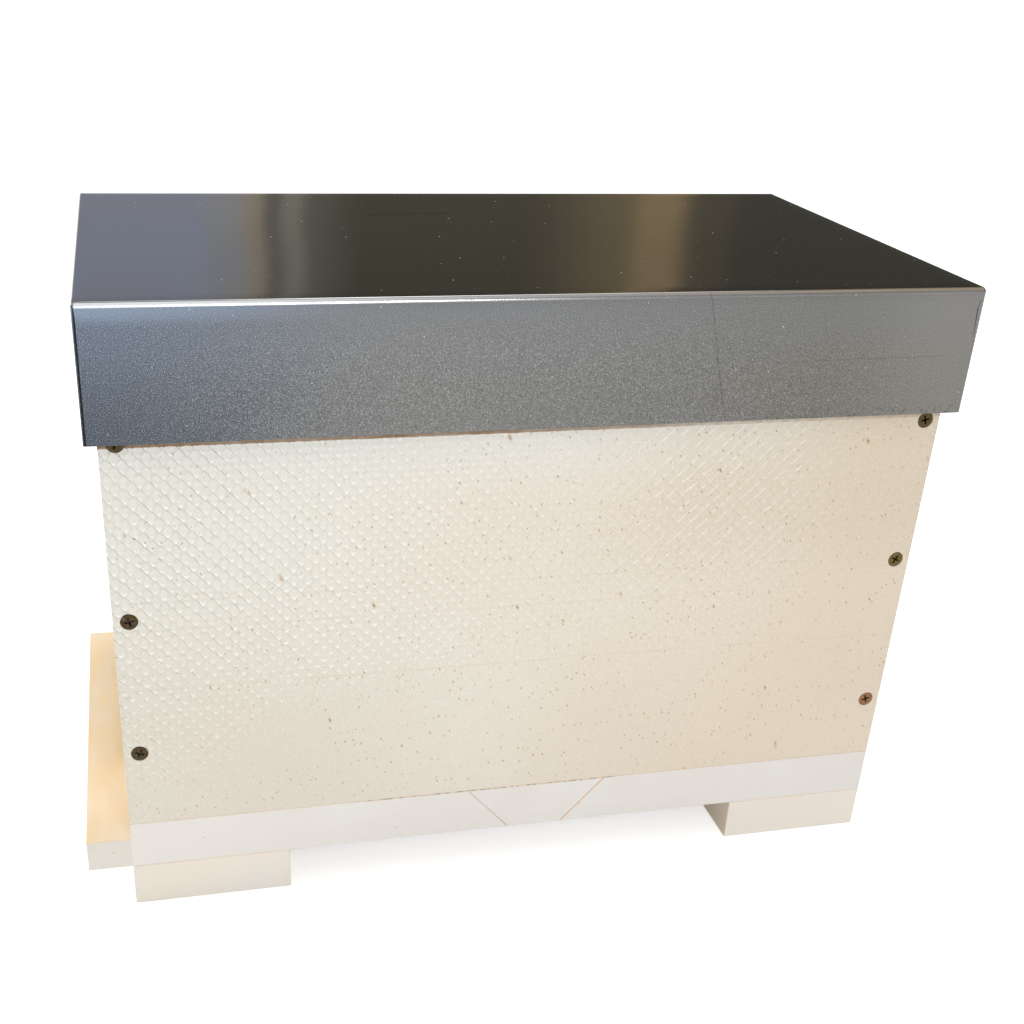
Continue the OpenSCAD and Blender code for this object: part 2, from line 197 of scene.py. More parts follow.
class NucBoxColours(bpy.types.PropertyGroup):
    """Colours of the finishes"""

    skin: colour("Skin", "Ivory of the embossed foam skin", (0.79, 0.775, 0.707))
    # Warm skin: partly yellowed foam, partly painted warm light towards the rear
    skin_warm: colour("Warm skin", "Yellowed foam skin towards the rear", (0.765, 0.66, 0.53))
    # Cool skin: painted cool light high up under the roof at the entrance end
    skin_cool: colour("Cool skin", "Bluish foam skin close under the roof", (0.765, 0.79, 0.775))
    # A dull tan for rubbed lines and dark grit, for painted shade high on the wall and at the landing's near
    # end, and for duller patches of skin, landing faces and feet
    dull_tan_and_shade: colour("Groove", "Rubbed lines across the foam skin", (0.60, 0.51, 0.37))
    crease: colour("Crease", "Shaded upper flanks of the dimples", (0.17, 0.15, 0.12))
    # White of the painted highlights on the dimples and in the screw recesses, and of pale grit specks
    glint_white: colour("Rubbed", "Rubbed lips of the dimples", (0.97, 0.97, 0.955))
    fleck: colour("Fleck", "Brown flecks in the foam skin", (0.20, 0.135, 0.075))
    fleck_halo: colour("Fleck halo", "Stain round the flecks", (0.66, 0.47, 0.25))
    # Dirt in the joints; under the roof's edge partly dirt, partly painted shadow
    grime_and_shadow: colour("Grime", "Dirt under the roof's edge and in the joints", (0.26, 0.125, 0.035))
    board: colour("Board", "Cut face of the floor boards", (0.80, 0.765, 0.725))
    board_cool: colour("Cool board", "Paler streaks of the floor boards", (0.82, 0.79, 0.76))
    # Tan of the landing's top, partly yellowed, partly painted warm light; also painted warm bounce light on
    # the feet's inner ends
    landing: colour("Landing", "Yellowed top of the landing", (0.87, 0.655, 0.395))
    batten: colour("Batten", "Foam of the feet", (0.86, 0.795, 0.715))
    batten_pale: colour("Pale batten", "Foam of the rear foot", (0.92, 0.83, 0.73))
    glue: colour("Glue", "Glue squeezed out of the joints", (0.80, 0.50, 0.20))
    sheet: colour("Sheet", "Bare metal of the roof sheet", (0.194, 0.194, 0.19))
    # Painted cool reflection at the roof's entrance end
    sheet_cool: colour("Cool sheet", "Bluish metal of the roof's entrance end", (0.112, 0.136, 0.174))
    # Painted warm reflection at the roof's rear end
    sheet_warm: colour("Warm sheet", "Browned metal of the roof's rear end", (0.187, 0.178, 0.154))
    # Painted blue reflection on the flanges under the front bend
    sheen: colour("Sheen", "Blue sheen under the roof's front bend", (0.36, 0.45, 0.60))
    # Pale grains of the sheet, and painted highlights along its bends and at its far end
    pale_metal_and_highlight: colour("Burnish", "Metal burnished along the roof's bends", (0.86, 0.87, 0.90))
    # Painted warm reflection along the roof's bends
    warm_reflection: colour("Tarnish", "Browned metal along the roof's bends", (0.36, 0.27, 0.18))
    dust: colour("Dust", "Dust on the roof", (0.62, 0.62, 0.60))
    # Dark grains, scratches, dirt and seams, and painted shade on the flanges' lower parts, the roof's
    # corners, the bends' dark line and the screw recesses
    soot_and_shade: colour("Soot", "Dirt in the roof's seams", (0.012, 0.012, 0.012))
    zinc: colour("Zinc", "Galvanised strips and plates", (0.55, 0.56, 0.57))
    bronze: colour("Bronze", "Dark screws at the entrance end", (0.065, 0.044, 0.021))
    brass: colour("Brass", "Yellow screws at the rear end", (0.13, 0.095, 0.028))
    copper: colour("Copper", "Reddish low screws at the rear end", (0.26, 0.13, 0.065))
    nail: colour("Nail", "Nails and rail screws", (0.42, 0.42, 0.43))
    veneer: colour("Veneer", "Inner cover board", (0.56, 0.38, 0.21))
    veneer_dark: colour("Dark veneer", "Grain of the inner cover board", (0.36, 0.215, 0.10))
    bead: colour("Bead", "Foam pad in the roof", (0.83, 0.83, 0.81))
    knob: colour("Knob", "Plastic of the shutter's knob", (0.022, 0.022, 0.024))
    ground: colour("Ground", "Studio floor", (0.93, 0.93, 0.93))


# Node graphs


class Value:
    """One output of a node, which takes part in Python arithmetic by adding Math nodes."""

    def __init__(self, graph, socket):
        self.graph = graph
        self.socket = socket

    def other(self, name):
        """Another output of the same node."""
        return Value(self.graph, self.socket.node.outputs[name])

    def calc(self, operation, *terms):
        """A Math node on the given terms."""
        return self.graph.node("ShaderNodeMath", {"operation": operation}, dict(enumerate(terms)))

    def __add__(self, term):
        return self.calc("ADD", self, term)

    __radd__ = __add__

    def __mul__(self, term):
        return self.calc("MULTIPLY", self, term)

    __rmul__ = __mul__

    def __sub__(self, term):
        return self.calc("SUBTRACT", self, term)

    def __rsub__(self, term):
        return self.calc("SUBTRACT", term, self)

    def __truediv__(self, term):
        return self.calc("DIVIDE", self, term)

    def __rtruediv__(self, term):
        return self.calc("DIVIDE", term, self)

    def __abs__(self):
        return self.calc("ABSOLUTE", self)


class Graph:
    """A node tree under construction."""

    def __init__(self, tree):
        self.tree = tree

    def node(self, kind, settings=None, inputs=None, output=0):
        """Adds a node, sets it up, feeds its sockets and returns one of its outputs."""
        made = self.tree.nodes.new(kind)
        for name, setting in (settings or {}).items():
            setattr(made, name, setting)
        for key, given in (inputs or {}).items():
            self.feed(made.inputs[key], given)
        return Value(self, made.outputs[output])

    def feed(self, socket, given):
        """Links a value to a socket, or sets the socket to a plain number or colour."""
        if isinstance(given, Value):
            self.tree.links.new(given.socket, socket)
        elif socket.type == "RGBA" and len(given) == 3:
            socket.default_value = (*given, 1.0)
        else:
            socket.default_value = given

    def smooth(self, value, low, high):
        """0 below low, 1 above high, with a soft step between."""
        return self.node(
            "ShaderNodeMapRange",
            {"interpolation_type": "SMOOTHSTEP"},
            {"Value": value, "From Min": low, "From Max": high},
        )

    def band(self, value, low, high, soft):
        """1 between low and high, falling to 0 over a soft margin on both sides."""
        return self.smooth(value, low - soft, low) * (1 - self.smooth(value, high, high + soft))

    def mix(self, share, first, second):
        """A colour between two others."""
        return self.node("ShaderNodeMix", {"data_type": "RGBA"}, {0: share, 6: first, 7: second}, 2)

    def axes(self, vector):
        """The three parts of a vector."""
        first = self.node("ShaderNodeSeparateXYZ", inputs={"Vector": vector}, output="X")
        return first, first.other("Y"), first.other("Z")

    def vector(self, across, along, up):
        """A vector from three parts."""
        return self.node("ShaderNodeCombineXYZ", inputs={"X": across, "Y": along, "Z": up})

    def scaled(self, vector, factor):
        """A vector times a number."""
        return self.node(
            "ShaderNodeVectorMath", {"operation": "SCALE"}, {"Vector": vector, "Scale": factor}
        )

    def noise(self, vector, scale, detail=2.0, rough=0.5):
        """Soft noise with features of 1 / scale."""
        return self.node(
            "ShaderNodeTexNoise",
            inputs={"Vector": vector, "Scale": scale, "Detail": detail, "Roughness": rough},
        )

    def cells(self, vector, settings=None, output="Distance"):
        """Cells of about one unit, with one random point each."""
        return self.node("ShaderNodeTexVoronoi", settings, {"Vector": vector, "Scale": 1.0}, output)


class Finish(Graph):
    """A material under construction, whose patterns are in millimetres of the part's frame."""

    def __init__(self, name):
        self.material = bpy.data.materials.new(name)
        self.material.use_nodes = True
        super().__init__(self.material.node_tree)
        self.shader = self.tree.nodes["Principled BSDF"]
        self.place = self.scaled(self.node("ShaderNodeTexCoord", output="Object"), TO_MM)
        self.across, self.along, self.up = self.axes(self.place)

    def stored(self, name):
        """A number kept on the mesh."""
        return self.node("ShaderNodeAttribute", {"attribute_name": name}, output="Fac")

    def bump(self, height, distance, strength=1.0):
        """A bump whose height of 1 stands for a distance in millimetres."""
        return self.node(
            "ShaderNodeBump", inputs={"Height": height, "Distance": distance * MM, "Strength": strength}
        )

    def flecks(self, across, up, cell, tall, radius, share, lean=0.0):
        """Sparse specks, one in a share of the cells, stretched upright and leaning."""
        spot = self.vector((across + lean * up) / cell, up / (cell * tall), 0.0)
        away = self.cells(spot, {"voronoi_dimensions": "2D"})
        pick, size, _ = self.axes(away.other("Color"))
        reach = radius / cell * (0.45 + 1.1 * size)
        chosen = self.smooth(pick, 1 - share, 1 - share + 0.01)
        core = (1 - self.smooth(away / reach, 0.75, 1.15)) * chosen
        halo = (1 - self.smooth(away / reach, 0.9, 2.6)) * chosen
        return core, halo

    def surface(self, **inputs):
        """Feeds the shader, by its sockets' names with underscores, and returns the material."""
        for name, given in inputs.items():
            self.feed(self.shader.inputs[name.replace("_", " ")], given)
        return self.material


# Finishes


def foam_skin(colours):
    """Ivory foam with a dimpled skin, brown flecks, faint lines, and dirt at its joints."""
    skin = Finish("Embossed foam skin")
    wander = skin.noise(skin.place, 1 / 6, 3.0)
    base = skin_tones(skin, colours)
    base, glint_white = skin_relief(skin, base, colours)
    base = skin_marks(skin, base, wander, colours)
    base = skin_dirt(skin, base, wander, colours)
    grain = skin.noise(skin.place, 1 / 0.9, 3.0)
    return skin.surface(
        Base_Color=base,
        Roughness=0.26 + 0.2 * grain - 0.12 * glint_white,
        Normal=skin.bump(grain + 0.6 * skin.noise(skin.place, 1 / 3.2), 0.28),
        Specular_IOR_Level=0.5,
    )


def skin_tones(skin, colours):
    """Ivory that turns warmer towards the rear, partly yellowed and partly painted warm light; painted cool
    light high up under the roof at the entrance end; painted shade high up towards the rear; and duller tan
    low down at the entrance end and along the rear edge.
    """
    across = skin.across
    up = skin.up
    patches = skin.noise(skin.place, 1 / 120, 3.0)
    low_rear = (1 - skin.smooth(up, 70.0, 220.0)) * skin.smooth(across, 40.0, 180.0)
    # The warmer rear is partly yellowing and partly painted warm light
    yellowed_and_warm_lit = 0.78 * skin.smooth(across, -300.0, 300.0) + 0.5 * (patches - 0.5) + 0.10 + 0.13 * low_rear
    base = skin.mix(skin.smooth(yellowed_and_warm_lit, 0.0, 1.0), colours.skin, colours.skin_warm)
    # Painted cool light high up under the roof at the entrance end
    high_up = skin.smooth(up, 268.0, 314.0) * (1 - skin.smooth(across, 120.0, 220.0))
    base = skin.mix(high_up * 0.45, base, colours.skin_cool)
    # Duller tan low down at the entrance end
    low_entrance_end = (1 - skin.smooth(up, 110.0, 260.0)) * (1 - skin.smooth(across, -170.0, 10.0))
    # Painted shade high up towards the rear
    shaded = skin.smooth(up, 190.0, 260.0) * skin.smooth(across, 20.0, 140.0)
    rear_edge = skin.smooth(up, 70.0, 130.0) * skin.smooth(across, 130.0, 250.0)
    return skin.mix(low_entrance_end * 0.36 + shaded * 0.28 + rear_edge * 0.2, base, colours.dull_tan_and_shade)


def skin_relief(skin, base, colours):
    """Painted shade on the dimples' upper flanks, painted highlights on their lips and lower flanks, and
    grit; also returns how much painted highlight lies on the skin, which is glossier there too.
    """
    across = skin.across
    up = skin.up
    varied = skin.smooth(skin.noise(skin.place, 1 / 11, 1.0), 0.28, 0.62)
    entrance_end = 1 - skin.smooth(across, -205.0, -85.0)
    dashes = skin.smooth(skin.noise(skin.place, 1 / 3.6, 1.0), 0.47, 0.60)
    # Painted shade on the dimples' upper flanks, strongest at the entrance end
    crease = skin.stored("crease") * (0.08 + 0.80 * entrance_end) * (0.3 + 0.7 * varied)
    crease = crease * (dashes + (1 - dashes) * skin.smooth(up, 150.0, 220.0))
    # Painted highlights on the lips at the dimples' lowest corners and along the lower flanks towards the
    # rear
    lip = skin.smooth(skin.stored("lip"), 0.5, 0.85) * (1 - 0.8 * skin.smooth(across, -130.0, 70.0))
    lip = lip * (0.25 + 0.75 * skin.smooth(up, 70.0, 230.0))
    flank = skin.stored("flank") * skin.band(across, 90.0, 165.0, 50.0) * skin.smooth(up, 170.0, 230.0)
    broken = skin.smooth(skin.noise(skin.place, 1 / 4.5, 1.0), 0.40, 0.60)
    glint_white = lip * (0.6 + 0.6 * varied) + flank * 0.72 * broken
    base = skin.mix(crease, base, colours.crease)
    base = skin.mix(glint_white * 0.8, base, colours.glint_white)
    # Grit: pale and dark specks in the foam skin
    grit = skin.noise(skin.place, 1 / 0.75, 1.0)
    gritty = 0.55 + 0.45 * skin.band(across, -110.0, 110.0, 90.0) * skin.smooth(up, 90.0, 190.0)
    base = skin.mix(skin.smooth(grit, 0.55, 0.78) * 0.55 * gritty, base, colours.glint_white)
    base = skin.mix((1 - skin.smooth(grit, 0.22, 0.45)) * 0.30 * gritty, base, colours.dull_tan_and_shade)
    return base, glint_white


def skin_marks(skin, base, wander, colours):
    """Rubbed lines across the walls, and brown flecks on all but their tops."""
    top = box_mm("left_side_wall")[1].z
    run = skin.across + skin.along
    rub = skin.noise(skin.vector(run / 30, skin.up / 3, 0.0), 1.0, 3.0)
    lines = sum(
        skin.band(skin.up + 1.2 * wander, level + 0.4, level + 0.8, 0.5) * weight
        for level, weight in WALL_LINES
    )
    base = skin.mix(lines * skin.smooth(rub, 0.35, 0.6), base, colours.dull_tan_and_shade)
    thick = skin.noise(skin.place, 1 / 45, 2.0) + 0.1 * skin.smooth(skin.across, -200.0, -60.0)
    crowd = skin.smooth(thick, 0.34, 0.62) * (1 - skin.smooth(skin.up, top - 1.0, top - 0.4))
    bent = run + 1.4 * wander
    for shift, cell, tall, radius, share, lean, halo_weight, core_weight in SKIN_FLECKS:
        core, halo = skin.flecks(bent + shift, skin.up, cell, tall, radius, share, lean)
        base = skin.mix(halo * crowd * halo_weight, base, colours.fleck_halo)
        base = skin.mix(core * crowd * core_weight, base, colours.fleck)
    return base


def skin_dirt(skin, base, wander, colours):
    """Grime and painted shadow on the outer faces just under the roof's edge, and glue and dirt along the
    floor.
    """
    low, high = box_mm("left_side_wall")
    middle = (low + high) / 2
    half = (high - low) / 2
    roof_edge = box_mm("roof_sheet")[0].z
    across = skin.across
    along = skin.along
    run = across + along
    level = skin.up + 0.8 * wander
    smear = skin.noise(skin.vector(run / 22, skin.up / 4, along / 22), 1.0, 4.0)
    past_side = abs(along) + (low.y + half.y)
    past_end = abs(across - middle.x) - (half.x - half.y)
    outside = skin.smooth(along.calc("MAXIMUM", past_side, past_end), 0.0, 2.0)
    # A brown band just under the roof's edge, partly grime and partly painted shadow of the roof's edge
    under_roof = skin.smooth(level, roof_edge - 5.2, roof_edge - 4.6)
    under_roof = under_roof * (1 - skin.smooth(level, roof_edge - 6.1, roof_edge + 13.9))
    under_roof = under_roof * (0.45 + 0.8 * smear) * outside
    under_roof = under_roof * (1 - 0.75 * skin.smooth(across, 20.0, 150.0))
    base = skin.mix(under_roof, base, colours.grime_and_shadow)
    foot_line = 1 - skin.smooth(skin.up, low.z + 0.1, low.z + 0.6)
    foot_dash = skin.smooth(skin.noise(run, 1 / 9, 4.0), 0.46, 0.58)
    near_key = skin.band(across, -100.0, 72.0, 12.0)
    base = skin.mix(foot_line * (0.3 + 0.1 * near_key), base, colours.glue)
    return skin.mix(foot_line * (0.08 + 0.45 * foot_dash * near_key), base, colours.grime_and_shadow)


def cut_foam(name, first, second, stains, colours):
    """Cut foam board with faint saw streaks, pits, and the stains of its own place."""
    board = Finish(name)
    across = board.across
    along = board.along
    up = board.up
    streak = board.noise(board.vector(across / 90, along / 90, up / 2.2), 1.0, 4.0)
    cloud = board.noise(board.place, 1 / 70, 3.0)
    base = board.mix(board.smooth(0.25 * streak + 0.75 * cloud, 0.38, 0.66), first, second)
    pits, pits_halo = board.flecks(across + along, up + 0.4 * (across - along), 26.0, 1.3, 0.24, 0.4)
    base = board.mix(pits_halo * 0.25, base, colours.fleck_halo)
    base = board.mix(pits * 0.6, base, colours.fleck)
    base = stains(board, base, colours)
    grain = board.noise(board.place, 1 / 0.7, 3.0)
    return board.surface(
        Base_Color=base,
        Roughness=0.62 + 0.2 * streak,
        Normal=board.bump(grain + 0.4 * streak, 0.07),
        Specular_IOR_Level=0.35,
    )


def floor_stains(board, base, colours):
    """Tan top of the landing, partly yellowed and partly painted warm light, with painted shade at its near
    end and duller faces below its top; and glue and dirt in the joints with the key and the walls.
    """
    low, high = box_mm("front_floor_board")
    front = box_mm("front_wall")[0].x
    step = box_mm("entrance_shutter")[0].z
    across = board.across
    up = board.up
    ahead = 1 - board.smooth(across, front - 0.6, front + 0.2)
    on_top = board.smooth(up, step - 1.4, step - 0.5)
    wear = board.noise(board.vector(across / 8, board.along / 40, 0.0), 1.0, 4.0)
    # Painted shade at the landing's near end
    near_end = 1 - board.smooth(board.along, -130.0, -85.0)
    # The landing's tan top: partly yellowing, partly painted warm light from above
    tan = board.mix(board.smooth(wear, 0.3, 0.75) * 0.35, colours.landing, base)
    tan = board.mix(near_end * 0.28, tan, colours.dull_tan_and_shade)
    base = board.mix(ahead * (1 - on_top) * 0.25, base, colours.dull_tan_and_shade)
    base = board.mix(ahead * on_top, base, tan)
    base = board.mix(key_glue(board, low, high) * 0.8, base, colours.glue)
    seam = board.smooth(up, high.z - 0.7, high.z - 0.3)
    dash = board.smooth(board.noise(across, 1 / 7, 4.0), 0.44, 0.56)
    near_key = board.band(across, -90.0, 72.0, 8.0)
    stain = board.mix(near_key * dash, colours.glue, colours.grime_and_shadow)
    return board.mix(seam * (0.22 + near_key * (0.17 + 0.3 * dash)), base, stain)


def key_glue(board, low, high):
    """Where glue shows in the key's two sloping joints, fainter in the one nearer the entrance."""
    key_low, key_high = box_mm("floor_key")
    middle = (key_low.x + key_high.x) / 2
    rise = (board.up - low.z) / (high.z - low.z)
    half_wide = (key_high.x - key_low.x) / 2 - (1 - rise) * KEY_TAPER
    joint = abs(abs(board.across - middle) - half_wide)
    smear = board.noise(board.place, 1 / 5, 3.0)
    rear_side = board.smooth(board.across, middle - 5, middle + 5)
    front_side = (1 - rear_side) * (0.10 + 0.6 * (1 - board.smooth(rise, 0.02, 0.4)))
    return (1 - board.smooth(joint, 0.12 + 0.4 * smear, 0.55 + 0.5 * smear)) * (rear_side + front_side)


def foot_stains(board, base, colours):
    """Paler foam towards the rear, glue under the floor, and painted warm bounce light on the inner ends."""
    front_inner = box_mm("front_foot")[1]
    rear_inner = box_mm("rear_foot")[0]
    across = board.across
    stained = board.smooth(board.noise(across, 1 / 12, 3.0), 0.45, 0.65)
    under_floor = board.smooth(board.up, front_inner.z - 1.4, front_inner.z - 0.4)
    base = board.mix(board.smooth(across, -60.0, 150.0) * 0.45, base, colours.batten_pale)
    base = board.mix((1 - board.smooth(across, -245.0, -140.0)) * 0.12, base, colours.dull_tan_and_shade)
    base = board.mix(under_floor * (0.10 + 0.24 * stained), base, colours.glue)
    # Painted warm bounce light on the feet's inner ends
    for inner in (front_inner.x, rear_inner.x):
        inner_end = 1 - board.smooth(abs(across - inner), 0.3, 0.6)
        base = board.mix(inner_end * 0.4, base, colours.landing)
    return base


def roof_metal(colours):
    """Mill-finish sheet with a fine sparkle, painted reflections of cool and warm light on its ends, flanges
    and bends, hairline scratches, dust, and dark seams that are partly dirt and partly painted shade.
    """
    metal = Finish("Roof sheet metal")
    low, high = box_mm("roof_sheet")
    across = metal.across
    along = metal.along
    top = metal.smooth(metal.up, high.z - 2.3, high.z - 0.5)
    haze = metal.noise(metal.place, 1 / 80, 3.0, 0.5)
    drifted = across + 60.0 * (haze - 0.5)
    rear = metal.smooth(drifted, -20.0, 260.0)
    near = 1 - 0.65 * metal.smooth(along, low.y + 1.0, low.y + 11.0)
    front = (1 - metal.smooth(drifted, -262.0, -70.0)) * (top + (1 - top) * near)
    base = sheet_tones(metal, rear, front, top, colours)
    base = fold_shine(metal, base, rear, front, top, colours)
    base, dust = roof_wear(metal, base, colours)
    smudge = metal.noise(metal.vector(across / 46, along / 46, metal.up / 18), 1.0, 5.0, 0.62)
    rough = 0.09 + 0.03 * metal.smooth(smudge, 0.4, 0.75) + 0.14 * (1 - top)
    return metal.surface(
        Base_Color=base,
        Metallic=1.0 - 0.85 * dust,
        Roughness=rough + 0.4 * dust,
        Normal=metal.bump(metal.noise(metal.place, 1 / 0.8, 2.0), 0.012),
    )


def sheet_tones(metal, rear, front, top, colours):
    """Tones of the sheet from end to end and down its flanges, with a fine sparkle; the bluish entrance end,
    the browner rear, the lighter tops and darker bottoms of the flanges and the lighter far end are painted
    reflections.
    """
    low, high = box_mm("roof_sheet")
    flange = 1 - top
    # Painted warm reflection towards the rear and painted cool reflection at the entrance end
    base = metal.mix(rear, colours.sheet, colours.sheet_warm)
    base = metal.mix(front * flange, base, colours.sheet_cool)
    sparkle = metal.noise(metal.place, 1 / 0.5, 1.0)
    grainy = (0.56 + 0.46 * front) * (1 - 0.7 * top)
    base = metal.mix(metal.smooth(sparkle, 0.57, 0.71) * 0.42 * grainy, base, colours.pale_metal_and_highlight)
    base = metal.mix((1 - metal.smooth(sparkle, 0.29, 0.51)) * 0.72 * grainy, base, colours.soot_and_shade)
    # Painted reflection: flanges lighter and bluer towards the top, darker towards the bottom, and lighter
    # at the far end
    upper = metal.smooth(metal.up, high.z - 54.1, high.z - 3.1) * flange
    lower = 1 - metal.smooth(metal.up, low.z - 5.1, low.z + 48.9)
    far_end = metal.smooth(metal.across, 170.0, 262.0) * flange
    base = metal.mix(upper * (0.06 + 0.10 * front), base, colours.sheen)
    base = metal.mix(lower * (0.10 + 0.24 * front), base, colours.soot_and_shade)
    return metal.mix(far_end * 0.065, base, colours.pale_metal_and_highlight)


def fold_shine(metal, base, rear, front, top, colours):
    """Painted reflections along the bends: a blue sheen, highlight lines and a dark line along the long
    bends, and warm brown at the rear and on the end bends.
    """
    low, high = box_mm("roof_sheet")
    middle = (low + high) / 2
    half = (high - low) / 2
    fold = metal.stored("fold")
    ends = metal.smooth(abs(metal.across - middle.x), half.x - 2.2, half.x - 1.0)
    sides = 1 - ends
    # Painted blue reflection just under the front bend
    sheen = metal.smooth(metal.up, high.z - 14.1, high.z - 3.1) * (1 - top) * front
    base = metal.mix(sheen * 0.5, base, colours.sheen)
    # Painted highlight lines along the long bends, fading towards the rear, with a painted dark line between
    # them
    shine = 0.25 + 0.75 * (1 - metal.smooth(metal.across, -235.0, 60.0))
    lit = metal.band(fold, 0.06, 0.62, 0.06) + metal.band(fold, 0.78, 0.90, 0.05)
    base = metal.mix(lit * shine * sides * 0.85, base, colours.pale_metal_and_highlight)
    base = metal.mix(metal.band(fold, 0.69, 0.73, 0.04) * sides * 0.6, base, colours.soot_and_shade)
    # Painted warm reflection along the rear long bends and the end bends
    brown = metal.band(fold, 0.50, 0.92, 0.06)
    return metal.mix(brown * (0.7 * rear * sides + 0.8 * ends), base, colours.warm_reflection)


def roof_wear(metal, base, colours):
    """Scratches, dust, dirt at the lower edge, and dark seams, partly dirt and partly painted shade on the
    upright corners' bends; also returns the dust.
    """
    edge = box_mm("roof_sheet")[0].z
    wander = metal.noise(metal.place, 1 / 14, 2.0)
    drawn = sum(
        (1 - metal.smooth(abs(line), width, width * 2.4)) * reach * weight
        for line, width, reach, weight in roof_scratches(metal, wander)
    )
    unrolled = 0.4 * metal.along + metal.up
    specks, _ = metal.flecks(metal.across, unrolled, 21.0, 1.0, 0.34, 0.42)
    tiny, _ = metal.flecks(metal.across, unrolled, 9.0, 1.0, 0.16, 0.45)
    dust = specks * 0.75 + tiny * 0.5
    base = metal.mix(drawn, base, colours.soot_and_shade)
    base = metal.mix(dust * 0.8, base, colours.dust)
    low_rear = (1 - metal.smooth(metal.up, edge + 1.9, edge + 7.9)) * metal.smooth(metal.across, 90.0, 200.0)
    dirt = metal.smooth(metal.noise(metal.place, 1 / 2.6, 3.0), 0.54, 0.70) * low_rear
    base = metal.mix(dirt * 0.5, base, colours.soot_and_shade)
    # Dark seams: dirt in the seam, and painted shade on the upright corners' bends
    seam = metal.smooth(metal.stored("seam"), 0.55, 0.85)
    return metal.mix(seam * 0.95, base, colours.soot_and_shade), dust


def roof_scratches(metal, wander):
    """Hairline scratches: distance from the line, half width, where it runs, and weight."""
    low, high = box_mm("roof_sheet")
    across = metal.across
    along = metal.along
    up = metal.up
    near = 1 - metal.smooth(along, low.y + 0.6, low.y + 2.0)
    flat = metal.smooth(up, high.z - 1.6, high.z - 0.8)
    upright = across - 98.2 - (389.8 - up) * 0.252 + 0.8 * wander
    level = up - 353.0 + 1.6 * wander - (across - 139.0) * 0.011
    drag = along - 74.0 - (across + 30.0) * 0.11 + 1.5 * wander
    graze = along + 60.0 + (across - 140.0) * 0.34 + 1.2 * wander
    return (
        (upright, 0.14, near, 0.42),
        (level, 0.12, near * metal.band(across, 139.0, 252.0, 3.0), 0.25),
        (drag, 0.9, flat * metal.band(across, -60.0, -4.0, 4.0), 0.85),
        (graze, 0.5, flat * metal.band(across, 90.0, 190.0, 10.0), 0.3),
    )


def galvanised(colours):
    """Zinc-coated strip with a leafy spangle."""
    zinc = Finish("Galvanised strip")
    tone, shine, _ = zinc.axes(zinc.cells(zinc.scaled(zinc.place, 1 / 5.0), output="Color"))
    cloud = zinc.noise(zinc.place, 1 / 18, 3.0)
    base = zinc.mix(tone * 0.4, colours.zinc, colours.sheet)
    base = zinc.mix(zinc.smooth(cloud, 0.5, 0.8) * 0.3, base, colours.dust)
    return zinc.surface(
        Base_Color=base,
        Metallic=1.0,
        Roughness=0.26 + 0.2 * shine,
        Normal=zinc.bump(zinc.noise(zinc.place, 1 / 0.7) + shine, 0.03),
    )


def screw_metal(colours):
    """Passivated screws, bronze at the entrance end and yellow at the rear, with painted shade in the recess
    and a few painted glints in the recesses at the entrance end.
    """
    metal = Finish("Passivated screw")
    up = metal.up
    rear = metal.smooth(metal.across, -60.0, 80.0)
    recess = metal.stored("recess")
    patch = metal.noise(metal.place, 1 / 2.4, 3.0)
    rear_metal = metal.mix(metal.smooth(up, 150.0, 180.0), colours.copper, colours.brass)
    rear_metal = metal.mix(metal.smooth(up, 270.0, 290.0) * 0.6, rear_metal, colours.bronze)
    base = metal.mix(rear, colours.bronze, rear_metal)
    base = metal.mix(metal.smooth(patch, 0.5, 0.75) * 0.16, base, colours.nail)
    # Painted shade in the recess
    base = metal.mix(recess * 0.8, base, colours.soot_and_shade)
    # A few painted glints in the recesses of the entrance-end screws
    glint = metal.smooth(metal.noise(metal.place, 1 / 1.1, 1.0), 0.56, 0.62) * (1 - rear) * recess
    base = metal.mix(glint, base, colours.glint_white)
    return metal.surface(
        Base_Color=base,
        Metallic=(1.0 - 0.3 * recess) * (1 - glint),
        Roughness=0.24 + 0.25 * patch,
        Normal=metal.bump(metal.noise(metal.place, 1 / 0.4), 0.02),
    )


def nail_metal(colours):
    """Bright wire of the nails and rail screws, with painted shade in the rail screws' recesses."""
    metal = Finish("Bright wire")
    patch = metal.noise(metal.place, 1 / 1.6, 3.0)
    recess = metal.stored("recess")
    base = metal.mix(metal.smooth(patch, 0.4, 0.75) * 0.4, colours.nail, colours.dust)
    # Painted shade in the rail screws' recesses
    base = metal.mix(recess * 0.75, base, colours.soot_and_shade)
    return metal.surface(
        Base_Color=base,
        Metallic=1.0,
        Roughness=0.25 + 0.2 * patch,
        Normal=metal.bump(metal.noise(metal.place, 1 / 0.3), 0.015),
    )


def plywood(colours):
    """Thin plywood with long grain on its faces and plies on its edges."""
    wood = Finish("Inner cover plywood")
    across = wood.across
    along = wood.along
    up = wood.up
    sway = wood.noise(wood.vector(across / 160, along / 30, 0.0), 1.0, 2.0)
    grain = wood.noise(wood.vector(across / 120, along / 2.6 + 7 * sway, up / 1.5), 1.0, 5.0, 0.6)
    pores = wood.noise(wood.vector(across / 14, along / 0.5, up / 0.6), 1.0, 2.0)
    base = wood.mix(wood.smooth(grain, 0.38, 0.68), colours.veneer, colours.veneer_dark)
    base = wood.mix(wood.smooth(pores, 0.6, 0.8) * 0.4, base, colours.fleck)
    return wood.surface(
        Base_Color=base,
        Roughness=0.55 + 0.2 * grain,
        Normal=wood.bump(grain + pores, 0.08),
        Specular_IOR_Level=0.35,
    )


